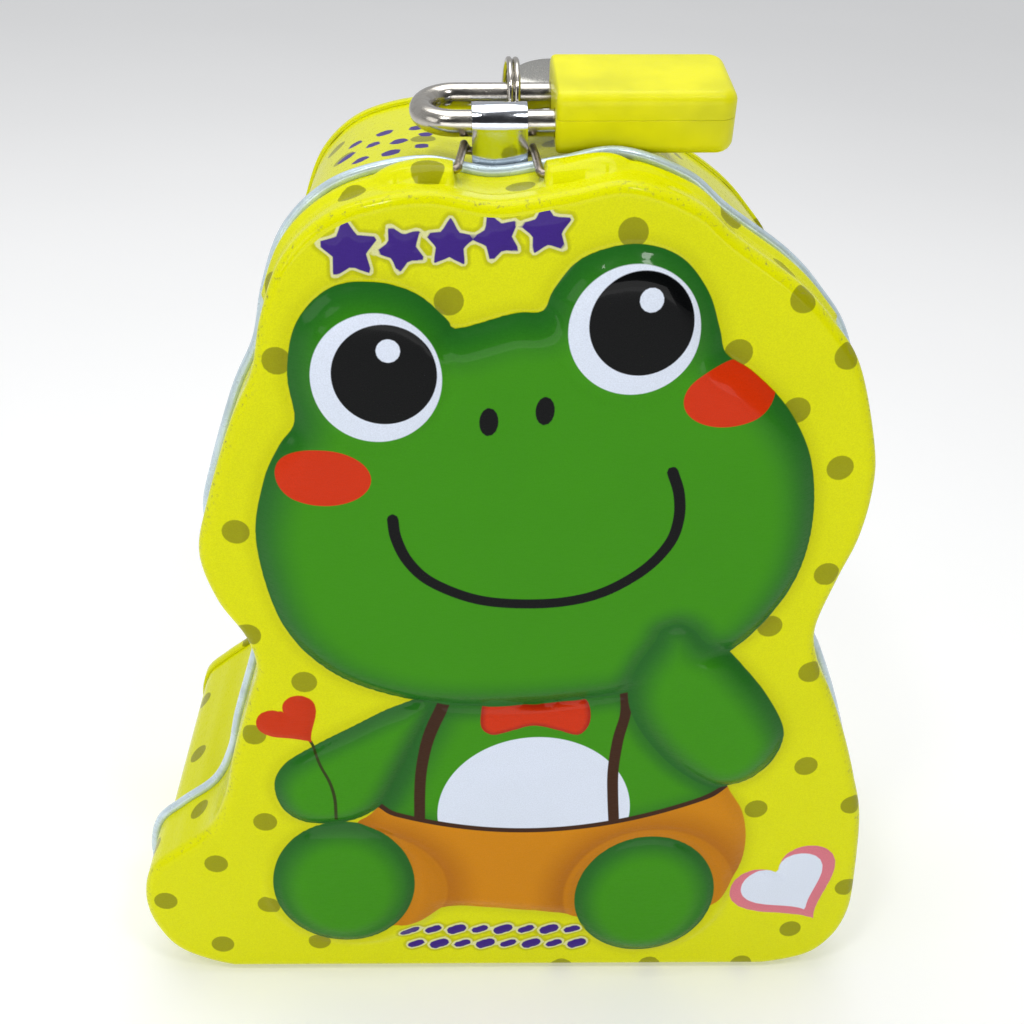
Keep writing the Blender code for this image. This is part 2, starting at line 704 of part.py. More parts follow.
make_body_wall()
make_back_panel()
make_front_lid()
make_hinge()
make_hasp()
make_bail()
PADLOCK = padlock_frame()
make_shackle(PADLOCK)
make_cover(PADLOCK)
make_core(PADLOCK)
make_plug(PADLOCK)
make_latch(PADLOCK)
make_springs(PADLOCK)
make_key_ring()
make_key("key_lower", math.radians(-13.0), 0.0)
make_key("key_upper", 0.0, math.radians(-12.0))
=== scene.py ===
"""Looks of the tin money box: printed and embossed lid, bead, wall, back, latch, padlock and keys.

Lengths are in millimetres in the row frame, with X to the right, Y away from the lid's face and Z up.
MM turns them into metres.
"""

import math

import bmesh
import bpy
import numpy as np
from mathutils import Matrix, Vector, geometry


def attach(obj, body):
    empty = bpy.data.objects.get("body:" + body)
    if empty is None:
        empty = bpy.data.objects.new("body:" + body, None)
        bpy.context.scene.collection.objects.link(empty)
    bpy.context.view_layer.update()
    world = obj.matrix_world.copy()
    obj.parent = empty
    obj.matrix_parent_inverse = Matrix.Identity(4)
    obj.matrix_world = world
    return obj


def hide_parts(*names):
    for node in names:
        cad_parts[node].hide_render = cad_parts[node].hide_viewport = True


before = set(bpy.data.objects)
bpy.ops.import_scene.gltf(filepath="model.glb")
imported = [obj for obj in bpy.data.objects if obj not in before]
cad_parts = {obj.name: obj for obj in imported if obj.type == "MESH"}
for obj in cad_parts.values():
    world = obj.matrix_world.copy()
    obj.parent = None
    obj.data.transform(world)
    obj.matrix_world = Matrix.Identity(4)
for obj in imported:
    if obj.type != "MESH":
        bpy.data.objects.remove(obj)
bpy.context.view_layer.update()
MM = 0.001

# ---- Dimensions, the same as in the CAD ----------------------------------------------------------

SHEET = 0.35
THIN = 0.3
GAP = 0.3
LID_EDGE_RADIUS = 1.8
BEAD_RADIUS = 0.85
BEAD_OUT = 0.5
BODY_INSET = 1.2
FLOOR_LIFT = BEAD_OUT + BEAD_RADIUS
LID_FACE_Y = -30.6
BACK_Y = 30.6
BEAD_Y = LID_FACE_Y + 14.4 - BEAD_RADIUS
BODY_FRONT_Y = -19.0
COIN_SLOT_X = (-12.0, 22.0)
COIN_SLOT_Y = (12.7, 17.3)
STRAP_X = 34.0
STRAP_CUT = 4.0
BARREL_X = (-11.5, -3.8)
BARREL_Y = -12.9
BARREL_Z = 153.15
BARREL_BORE = 2.47
HASP_SHEET = 0.4
FOOT_Z = 147.02
WIRE_RADIUS = 0.57
HOOK_X = (-13.3, -2.3)
HOOK_Y = -22.3
HOOK_Z = 148.95
HOOK_LENGTH = 2.2
BOSS_X = ((-20.6, -13.9), (-1.6, 5.4))
BOSS_Y = (-25.0, -19.6)
BOSS_HEIGHT = 2.1
LATCH_ROLL = math.radians(3.2)
LOCK_Z = BARREL_Z - sum(BARREL_X) / 2 * math.tan(LATCH_ROLL)
SHACKLE_RADIUS = 1.82
SHACKLE_STRAIGHT_END = -13.75
LEG_SPACING = 9.4
PADLOCK_TILT = math.radians(10.8)
CASE_START = 0.0
CASE_LENGTH = 25.2
CASE_WIDTH = 15.7
CASE_THICK = 8.9
CASE_MIDDLE = LEG_SPACING / 2
CASE_RISE = 0.85
PARTING = 1.6
COVER_WALL = 0.7
RING_RADIUS = 5.5
RING_WIRE = 0.45
RING_PITCH = 1.0
RING_X = -5.4
RING_Y = -1.0665
RING_Z = 153.9376
KEY_TILT = math.radians(18.0)
KEY_THICK = 1.0

# Lid outline from the right end of the straight bottom edge over the top to its left end.
OUTLINE = [
    (50.0, 0.0), (58.6, 2.5), (63.0, 7.6), (64.75, 14.5), (64.3, 23.0), (62.3, 38.0),
    (59.3, 47.6), (55.7, 57.0), (51.7, 65.8), (48.3, 72.2), (46.6, 79.0), (48.4, 88.5),
    (50.3, 96.0), (50.8, 104.0), (49.7, 111.5), (45.0, 124.2), (39.9, 130.8), (34.0, 136.2),
    (24.4, 142.2), (18.3, 146.6), (9.0, 149.2), (0.5, 147.4), (-8.5, 145.6), (-17.5, 146.6),
    (-26.0, 144.8), (-32.0, 141.6), (-36.8, 136.0), (-39.6, 128.0), (-41.2, 120.0),
    (-44.6, 112.0), (-48.6, 99.0), (-50.3, 90.4), (-48.2, 82.2), (-44.2, 75.2), (-42.8, 69.0),
    (-44.4, 62.4), (-47.7, 50.0), (-49.4, 41.8), (-52.7, 34.4), (-59.0, 28.8), (-63.3, 24.4),
    (-64.75, 17.6), (-63.4, 10.6), (-59.2, 4.2), (-50.0, 0.0),
]
COARSE_STEP = 0.8
FINE_STEP = 0.4
FACE_PITCH = 0.75
BOTTOM_STEP = 1.6
BOTTOM_HALF = 50.0
# The steps are fine from the coin slot's right end to here, past the bail's bosses.
FINE_TO_X = -24.0
# Only the top of the outline is above this height.
TOP_Z = 130.0
# The coin slot's edges are above this height.
SLOT_LOW_Z = 140.0

# ---- The lid's print: a plain seated frog made from rounded shapes, dots, hearts and stars -------

HEAD = [
    (-41.5, 94.5), (-40.0, 105.0), (-37.5, 111.0), (-35.2, 115.0), (-36.0, 122.0), (-34.6, 129.5),
    (-30.0, 134.7), (-24.0, 135.8), (-18.4, 134.4), (-14.2, 130.9), (-12.8, 129.7), (-5.3, 132.2),
    (-1.4, 132.7), (0.0, 136.0), (3.5, 140.4), (10.2, 142.6), (16.5, 141.2), (21.0, 136.5),
    (23.4, 131.0), (24.8, 127.5), (29.0, 125.0), (35.0, 119.5), (39.8, 111.5), (42.0, 101.0),
    (41.3, 91.0), (37.6, 82.3), (32.0, 75.5), (24.5, 70.2), (16.0, 67.7), (3.0, 65.6),
    (-10.0, 64.8), (-21.0, 66.3), (-31.0, 71.0), (-38.2, 80.0),
]
BODY = [
    (-23.5, 42.4), (-15.4, 62.0), (-12.0, 70.0), (18.0, 72.0), (33.0, 57.0), (36.6, 47.6),
    (40.2, 41.5), (41.9, 34.0), (41.2, 26.5), (37.0, 18.0), (25.0, 11.0), (13.0, 15.5),
    (0.0, 17.3), (-10.8, 17.9), (-17.0, 14.6), (-27.0, 14.0), (-34.0, 26.0), (-27.5, 37.8),
]
ARM_LEFT = [
    (-14.4, 65.6), (-20.6, 64.2), (-27.6, 59.8), (-34.4, 55.3), (-39.0, 51.5), (-40.8, 47.0),
    (-39.6, 41.6), (-36.0, 38.6), (-30.5, 38.3), (-25.6, 40.2), (-22.3, 43.9), (-19.0, 52.2),
]
ARM_RIGHT = [
    (20.1, 79.1), (20.9, 81.4), (23.5, 82.5), (26.1, 81.4), (28.2, 79.0), (31.9, 77.1),
    (35.5, 73.4), (39.8, 68.3), (43.6, 62.3), (44.7, 58.2), (43.6, 53.4), (40.4, 49.3),
    (36.0, 47.6), (31.9, 48.5), (26.0, 52.8), (20.6, 59.2), (17.6, 65.0), (17.0, 70.0),
    (17.9, 74.5),
]
BOW = [
    (-6.8, 63.4), (-6.2, 65.6), (-3.8, 66.0), (2.0, 65.3), (8.3, 66.7), (10.4, 66.4), (11.2, 64.0),
    (11.0, 61.3), (9.4, 59.5), (6.0, 60.5), (2.0, 61.4), (-1.4, 60.3), (-4.6, 59.3), (-6.5, 60.6),
]
FEET = [(-29.4, 24.1, 12.5, 14.6), (24.9, 21.2, 12.8, 14.8)]
LEGS = [(-27.4, 22.5, 16.4, 14.6), (25.6, 21.8, 15.6, 16.0)]
BELLY = (3.3, 42.0, 16.6, 16.9)
EYE_WHITES = [(-23.7, 122.7, 9.0, 9.5), (11.2, 131.1, 9.1, 9.3)]
PUPILS = [(-22.6, 123.5, 7.2, 7.3), (12.0, 132.3, 7.2, 7.4)]
GLINTS = [(-22.1, 127.2, 1.65, 1.65), (12.9, 135.9, 1.65, 1.7)]
NOSTRILS = [(-8.0, 116.8, 1.35, 2.2), (-0.2, 118.8, 1.35, 2.2)]
CHEEKS = [(-31.3, 107.0, 6.9, 4.5, 0.0), (26.0, 122.0, 6.9, 4.7, 12.0)]
MOUTH = [
    (-21.3, 100.6), (-20.8, 97.4), (-19.0, 93.4), (-15.6, 89.9), (-9.5, 87.1), (-3.3, 86.2),
    (4.3, 86.6), (10.8, 88.6), (16.6, 92.8), (20.0, 97.6), (20.9, 102.0), (20.4, 106.2), (19.0, 109.8),
]
MOUTH_HALF = 0.85
BRACES = [
    [(-12.2, 67.0), (-14.9, 59.2), (-16.0, 53.6), (-16.4, 47.9), (-16.3, 39.0)],
    [(16.6, 68.5), (17.0, 63.9), (16.3, 58.8), (16.1, 52.0), (16.6, 46.2), (17.5, 39.0)],
]
BRACE_HALF = 0.95
WAIST_X = 1.0
WAIST_Z = 37.9
WAIST_BEND = 0.0078
WAIST_HALF = 0.5
HEART = (-37.6, 60.7, 5.4, 36.0)
STEM = [(-34.6, 56.6), (-33.0, 52.8), (-31.4, 49.0), (-30.6, 45.0), (-30.5, 39.8)]
STEM_HALF = 0.28
BADGE = (51.6, 23.2, 10.4, 36.0)
BADGE_INSIDE = (51.0, 24.0, 8.0, 36.0)
STARS = [
    (-27.4, 140.0, 3.9, 8.0), (-20.5, 140.5, 3.1, 30.0), (-14.2, 141.5, 3.1, 0.0),
    (-8.0, 142.6, 3.1, 24.0), (-1.6, 143.9, 3.3, 10.0),
]
DASH_ROWS = (11.9, 8.1)
DASH_X = (-17.6, 12.4)
DASH_COUNT = 8
FACE_DOTS = [
    (-14.1, 133.5), (9.9, 144.1), (34.5, 135.9), (42.3, 127.8), (26.5, 127.7), (-37.4, 123.9),
    (36.3, 119.2), (44.5, 110.1), (-44.4, 96.4), (46.0, 91.4), (38.6, 81.3), (-43.6, 77.7),
    (46.9, 72.3), (-35.2, 68.7), (-43.7, 57.7), (49.8, 52.1), (59.7, 43.2), (42.6, 42.1),
    (-42.7, 38.4), (-51.6, 28.4), (-61.0, 19.2), (-51.7, 8.0), (-42.9, 18.4), (-34.1, 8.8),
    (54.0, 11.7), (62.6, 22.8), (11.1, 1.7), (28.0, 2.1), (45.9, 2.3),
]
DOT_RADIUS = 2.05
DOT_CELL = 15.5


# ---- Curves and distances ------------------------------------------------------------------------


def catmull_rom(knots, steps, closed=False):
    """Points on the smooth curve through the knots."""
    knots = np.array(knots, float)
    if closed:
        ring = np.vstack([knots[-1], knots, knots[:2]])
    else:
        ring = np.vstack([2 * knots[0] - knots[1], knots, 2 * knots[-1] - knots[-2]])
    t = np.arange(steps)[:, None] / steps
    pieces = []
    for a, b, c, d in zip(ring, ring[1:], ring[2:], ring[3:]):
        cubic = (3 * b - a - 3 * c + d) * t**3
        pieces.append(b + ((c - a) * t + (2 * a - 5 * b + 4 * c - d) * t**2 + cubic) / 2)
    if not closed:
        pieces.append(knots[-1:])
    return np.vstack(pieces)


def resample(points, step):
    """The line through the points in equal steps, without its last point."""
    lengths = np.concatenate([[0], np.cumsum(np.linalg.norm(np.diff(points, axis=0), axis=1))])
    count = max(1, round(lengths[-1] / step))
    at = np.linspace(0, lengths[-1], count + 1)[:-1]
    return np.column_stack([np.interp(at, lengths, points[:, k]) for k in range(points.shape[1])])


def crossing(points, x):
    """Where the outline's top passes x, going right to left: index after it, and the point."""
    for i in range(1, len(points)):
        if points[i, 1] > TOP_Z and points[i - 1, 0] > x >= points[i, 0]:
            t = (points[i - 1, 0] - x) / (points[i - 1, 0] - points[i, 0])
            return i, points[i - 1] + (points[i] - points[i - 1]) * t
    raise ValueError("the outline doesn't pass that x")


def make_outline():
    """Closed outline with points exactly at the coin slot's ends and the hinge cut-outs' edges."""
    knots = [(BOTTOM_HALF - 8.6, 0.0), *OUTLINE, (-BOTTOM_HALF + 9.2, 0.0)]
    steps = 24
    curve = catmull_rom(knots, steps)[steps:-steps]
    right, right_point = crossing(curve, COIN_SLOT_X[1])
    left, left_point = crossing(curve, COIN_SLOT_X[0])
    far, far_point = crossing(curve, FINE_TO_X)
    sections = [
        (np.vstack([curve[:right], right_point]), COARSE_STEP),
        (np.vstack([right_point, curve[right:left], left_point]), FINE_STEP),
        (np.vstack([left_point, curve[left:far], far_point]), FINE_STEP),
        (np.vstack([far_point, curve[far:]]), COARSE_STEP),
    ]
    near = STRAP_X - STRAP_CUT
    beyond = STRAP_X + STRAP_CUT
    stops = [-BOTTOM_HALF, -beyond, -near, near, beyond, BOTTOM_HALF]
    for a, b in zip(stops, stops[1:]):
        sections.append((np.array([(a, 0.0), (b, 0.0)]), BOTTOM_STEP))
    points = np.vstack([resample(part, step) for part, step in sections])
    points[:, 1] += FLOOR_LIFT
    return points


def outward_normals(outline):
    along = np.roll(outline, -1, axis=0) - np.roll(outline, 1, axis=0)
    along /= np.linalg.norm(along, axis=1)[:, None]
    return np.column_stack([along[:, 1], -along[:, 0]])


EDGE = make_outline()
EDGE_OUT = outward_normals(EDGE)
EDGE_LENGTH = np.concatenate([[0], np.cumsum(np.linalg.norm(np.diff(EDGE, axis=0), axis=1))])
EDGE_MIDDLES = (EDGE + np.roll(EDGE, -1, axis=0)) / 2
FROM_STRAP = np.abs(np.abs(EDGE_MIDDLES[:, 0]) - STRAP_X)
AT_STRAP = (EDGE_MIDDLES[:, 1] < FLOOR_LIFT + 0.01) & (FROM_STRAP < STRAP_CUT)


def to_polygon(points, polygon):
    """Signed distance of each point to a closed polygon, negative inside."""
    best = np.full(len(points), 1e9)
    inside = np.zeros(len(points), bool)
    for a, b in zip(polygon, np.roll(polygon, -1, axis=0)):
        span = b - a
        t = np.clip(((points - a) @ span) / (span @ span), 0, 1)
        gap = points - a - t[:, None] * span
        best = np.minimum(best, (gap**2).sum(1))
        if a[1] != b[1]:
            crosses = (a[1] > points[:, 1]) != (b[1] > points[:, 1])
            inside ^= crosses & (points[:, 0] < span[0] * (points[:, 1] - a[1]) / span[1] + a[0])
    return np.where(inside, -1, 1) * np.sqrt(best)


def to_line(points, line):
    """Distance of each point to an open line."""
    best = np.full(len(points), 1e9)
    for a, b in zip(line, line[1:]):
        span = b - a
        t = np.clip(((points - a) @ span) / (span @ span), 0, 1)
        gap = points - a - t[:, None] * span
        best = np.minimum(best, (gap**2).sum(1))
    return np.sqrt(best)


def to_ellipse(points, x, z, rx, rz, turn=0.0):
    """Nearly the signed distance of each point to an ellipse."""
    c, s = math.cos(math.radians(turn)), math.sin(math.radians(turn))
    dx, dz = points[:, 0] - x, points[:, 1] - z
    u, v = c * dx + s * dz, -s * dx + c * dz
    k = np.sqrt((u / rx) ** 2 + (v / rz) ** 2)
    slope = np.sqrt((u / rx**2) ** 2 + (v / rz**2) ** 2)
    return k * (k - 1) / np.maximum(slope, 1e-6)


def to_ellipses(points, ellipses):
    return np.min([to_ellipse(points, *values) for values in ellipses], axis=0)


def to_blob(points, knots):
    return to_polygon(points, catmull_rom(knots, 5, closed=True))


def turned(shape, x, z, size, turn):
    c, s = math.cos(math.radians(turn)), math.sin(math.radians(turn))
    shape = np.array(shape) * size
    return np.column_stack([x + c * shape[:, 0] - s * shape[:, 1], z + s * shape[:, 0] + c * shape[:, 1]])


def heart(x, z, size, turn):
    """A closed heart of about twice the size across."""
    t = np.linspace(0, 2 * math.pi, 41)[:-1]
    across = np.sin(t) ** 3
    high = (13 * np.cos(t) - 5 * np.cos(2 * t) - 2 * np.cos(3 * t) - np.cos(4 * t)) / 16
    return turned(np.column_stack([across, high]), x, z, size, turn)


def star(x, z, size, turn):
    """A plump five-pointed star."""
    corners = []
    for i in range(10):
        reach = 1.0 if i % 2 == 0 else 0.52
        angle = math.pi / 2 + i * math.pi / 5
        corners.append((reach * math.cos(angle), reach * math.sin(angle)))
    return turned(corners, x, z, size, turn)


# ---- Objects -------------------------------------------------------------------------------------


def collect(name):
    made = bpy.data.collections.new(name)
    bpy.context.scene.collection.children.link(made)
    return made


LOOKS = collect("looks")


def new_object(name, points, faces, material=None):
    """A mesh object from points in millimetres."""
    mesh = bpy.data.meshes.new(name)
    mesh.from_pydata([tuple(p) for p in np.asarray(points, float) * MM], [], faces)
    mesh.update()
    obj = bpy.data.objects.new(name, mesh)
    LOOKS.objects.link(obj)
    if material is not None:
        mesh.materials.append(material)
    return obj


def apply_modifiers(obj):
    """Leaves the object with a plain mesh and no modifiers."""
    bpy.context.view_layer.update()
    graph = bpy.context.evaluated_depsgraph_get()
    mesh = bpy.data.meshes.new_from_object(obj.evaluated_get(graph))
    obj.modifiers.clear()
    old = obj.data
    obj.data = mesh
    mesh.name = obj.name
    bpy.data.meshes.remove(old)
    return obj


def smooth(obj, angle=40.0):
    obj.data.shade_smooth()
    obj.data.set_sharp_from_angle(angle=math.radians(angle))
    return obj


def fix_normals(obj):
    work = bmesh.new()
    work.from_mesh(obj.data)
    bmesh.ops.remove_doubles(work, verts=work.verts, dist=1e-7)
    bmesh.ops.recalc_face_normals(work, faces=work.faces)
    work.to_mesh(obj.data)
    work.free()
    return obj


def solidify(obj, thickness, offset, inner_slot=0):
    shell = obj.modifiers.new("Thickness", "SOLIDIFY")
    shell.thickness = thickness * MM
    shell.offset = offset
    shell.use_even_offset = True
    shell.material_offset = inner_slot
    shell.material_offset_rim = inner_slot
    return shell


def bevel(obj, width, segments=2, angle=30.0):
    edge = obj.modifiers.new("Edges", "BEVEL")
    edge.width = width * MM
    edge.segments = segments
    edge.limit_method = "ANGLE"
    edge.angle_limit = math.radians(angle)
    return edge


def cut(obj, cutter, operation="DIFFERENCE"):
    step = obj.modifiers.new("Cut", "BOOLEAN")
    step.operation = operation
    step.solver = "EXACT"
    step.object = cutter
    apply_modifiers(obj)
    bpy.data.objects.remove(cutter)
    return obj


def sweep(name, rings, material, closed=True, caps=False):
    """A surface through rings of equal point counts."""
    count = len(rings[0])
    points = np.vstack(rings)
    faces = []
    spans = count if closed else count - 1
    for row in range(len(rings) - 1):
        for i in range(spans):
            j = (i + 1) % count
            a, b = row * count, (row + 1) * count
            faces.append((a + i, a + j, b + j, b + i))
    if caps:
        faces.append(tuple(reversed(range(count))))
        faces.append(tuple(range((len(rings) - 1) * count, len(rings) * count)))
    return new_object(name, points, faces, material)


def tube(name, line, radius, material, sides=14, taper=None):
    """A round wire along a smooth line of points, closed at its ends."""
    line = np.array(line, float)
    tangents = np.gradient(line, axis=0)
    tangents /= np.linalg.norm(tangents, axis=1)[:, None]
    side = np.cross(tangents[0], (0.31, 0.47, 0.83))
    rings = []
    for i, (point, tangent) in enumerate(zip(line, tangents)):
        side = side - tangent * (side @ tangent)
        side /= np.linalg.norm(side)
        third = np.cross(tangent, side)
        size = radius if taper is None else radius * taper[i]
        angles = np.linspace(0, 2 * math.pi, sides + 1)[:-1]
        rings.append(point + size * (np.cos(angles)[:, None] * side + np.sin(angles)[:, None] * third))
    return smooth(fix_normals(sweep(name, rings, material, caps=True)), 50)


def box(name, low, high):
    low, high = np.array(low, float), np.array(high, float)
    corners = [(x, y, z) for x in (low[0], high[0]) for y in (low[1], high[1]) for z in (low[2], high[2])]
    faces = [(0, 1, 3, 2), (4, 6, 7, 5), (0, 4, 5, 1), (2, 3, 7, 6), (0, 2, 6, 4), (1, 5, 7, 3)]
    return new_object(name, corners, faces)


def rod(name, start, end, radius, sides=32):
    """A plain cylinder, for cutting."""
    start, end = np.array(start, float), np.array(end, float)
    along = (end - start) / np.linalg.norm(end - start)
    side = np.cross(along, (0.31, 0.47, 0.83))
    side /= np.linalg.norm(side)
    third = np.cross(along, side)
    angles = np.linspace(0, 2 * math.pi, sides + 1)[:-1]
    ring = radius * (np.cos(angles)[:, None] * side + np.sin(angles)[:, None] * third)
    return fix_normals(sweep(name, [start + ring, end + ring], None, caps=True))


def ride(obj, body, slot, *replaced):
    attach(obj, body)
    if replaced:
        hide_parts(*replaced)
    return obj


def put_numbers(obj, name, values):
    field = obj.data.attributes.new(name, "FLOAT", "POINT")
    field.data.foreach_set("value", np.asarray(values, np.float32))


# ---- Materials -----------------------------------------------------------------------------------


class Nodes:
    """Short calls for building one material's node tree."""

    def __init__(self, name):
        self.material = bpy.data.materials.new(name)
        self.material.use_nodes = True
        self.tree = self.material.node_tree
        self.shader = self.tree.nodes["Principled BSDF"]

    def add(self, kind, **values):
        node = self.tree.nodes.new(kind)
        for key, value in values.items():
            setattr(node, key, value)
        return node

    def join(self, source, target):
        self.tree.links.new(source, target)

    def put(self, socket, value):
        if isinstance(value, bpy.types.NodeSocket):
            self.join(value, socket)
        else:
            socket.default_value = value

    def number(self, name):
        return self.add("ShaderNodeAttribute", attribute_name=name).outputs["Fac"]

    def vector(self, name):
        return self.add("ShaderNodeAttribute", attribute_name=name).outputs["Vector"]

    def position(self):
        """Object coordinates in millimetres."""
        place = self.add("ShaderNodeTexCoord").outputs["Object"]
        scaled = self.add("ShaderNodeVectorMath", operation="SCALE")
        self.join(place, scaled.inputs[0])
        scaled.inputs["Scale"].default_value = 1 / MM
        return scaled.outputs[0]

    def math(self, operation, a, b=0.0, clamp=False):
        node = self.add("ShaderNodeMath", operation=operation, use_clamp=clamp)
        self.put(node.inputs[0], a)
        self.put(node.inputs[1], b)
        return node.outputs[0]

    def vmath(self, operation, a, b=(0, 0, 0)):
        node = self.add("ShaderNodeVectorMath", operation=operation)
        self.put(node.inputs[0], a)
        self.put(node.inputs[1], b)
        return node.outputs["Value"] if operation in ("LENGTH", "DISTANCE") else node.outputs[0]

    def ramp(self, value, low, high, to_low=0.0, to_high=1.0, smooth_step=False):
        node = self.add("ShaderNodeMapRange")
        if smooth_step:
            node.interpolation_type = "SMOOTHSTEP"
        self.put(node.inputs["Value"], value)
        for key, number in (("From Min", low), ("From Max", high), ("To Min", to_low), ("To Max", to_high)):
            node.inputs[key].default_value = number
        return node.outputs[0]

    def noise(self, at, scale, detail=2.0, rough=0.5):
        node = self.add("ShaderNodeTexNoise")
        self.join(at, node.inputs["Vector"])
        node.inputs["Scale"].default_value = scale
        node.inputs["Detail"].default_value = detail
        node.inputs["Roughness"].default_value = rough
        return node.outputs["Fac"]

    def mix(self, amount, a, b, blend="MIX"):
        node = self.add("ShaderNodeMix", data_type="RGBA", blend_type=blend)
        self.put(node.inputs["Factor"], amount)
        self.put(node.inputs["A"], a if isinstance(a, bpy.types.NodeSocket) else (*a, 1.0))
        self.put(node.inputs["B"], b if isinstance(b, bpy.types.NodeSocket) else (*b, 1.0))
        return node.outputs["Result"]

    def inside(self, field, soft=0.07):
        """1 where the distance field is negative."""
        return self.ramp(field, soft, -soft)

    def bump(self, height, strength, distance_mm, normal=None):
        node = self.add("ShaderNodeBump")
        self.join(height, node.inputs["Height"])
        node.inputs["Strength"].default_value = strength
        node.inputs["Distance"].default_value = distance_mm * MM
        if normal is not None:
            self.join(normal, node.inputs["Normal"])
        return node.outputs[0]


def linear(r, g, b):
    """A display colour, 0 to 255, as scene-linear values."""
    values = []
    for part in (r, g, b):
        c = part / 255
        values.append(c / 12.92 if c <= 0.04045 else ((c + 0.055) / 1.055) ** 2.4)
    return tuple(values)


YELLOW = linear(226, 228, 2)
OLIVE = linear(158, 158, 6)
GREEN = linear(62, 146, 8)
# Painted shade: this darker green is laid toward the edges of the pressed green shapes and under the head and
# arms.
SHADE_GREEN = linear(36, 104, 34)
ORANGE = linear(212, 136, 8)
# Painted shade: this darker orange is laid in the creases around the trouser legs and toward the legs' edges.
SHADE_ORANGE = linear(172, 100, 4)
BROWN = linear(64, 36, 18)
WHITE = linear(226, 234, 250)
BLACK = linear(7, 8, 9)
RED = linear(212, 52, 10)
PURPLE = linear(62, 34, 132)
PINK = linear(222, 124, 138)
PALE_EDGE = linear(226, 226, 160)


def lacquer(n, colour, roughness=0.3):
    """Printed tin under clear lacquer: ink grain, faint waves in the sheet and fine scuffs."""
    at = n.position()
    grain = n.noise(at, 5.5, 3.0, 0.7)
    printed = n.mix(n.ramp(grain, 0.35, 0.65), colour, n.mix(1.0, colour, (0.86, 0.86, 0.86), "MULTIPLY"))
    blotch = n.noise(at, 0.05, 2.0)
    duller = n.mix(1.0, printed, (0.84, 0.86, 0.8), "MULTIPLY")
    printed = n.mix(n.ramp(blotch, 0.35, 0.7, 0.0, 0.22), printed, duller)
    n.join(printed, n.shader.inputs["Base Color"])
    waves = n.bump(n.noise(at, 0.35, 1.0), 0.25, 0.25)
    orange_peel = n.bump(n.noise(at, 2.2, 2.0), 0.10, 0.04, waves)
    n.join(orange_peel, n.shader.inputs["Normal"])
    scuff = n.noise(n.vmath("MULTIPLY", at, (0.6, 0.6, 4.0)), 1.2, 4.0, 0.7)
    n.join(n.ramp(scuff, 0.4, 0.75, roughness - 0.04, roughness + 0.12), n.shader.inputs["Roughness"])
    n.shader.inputs["Specular IOR Level"].default_value = 0.03
    n.shader.inputs["Coat Weight"].default_value = 0.22
    n.shader.inputs["Coat Roughness"].default_value = 0.06


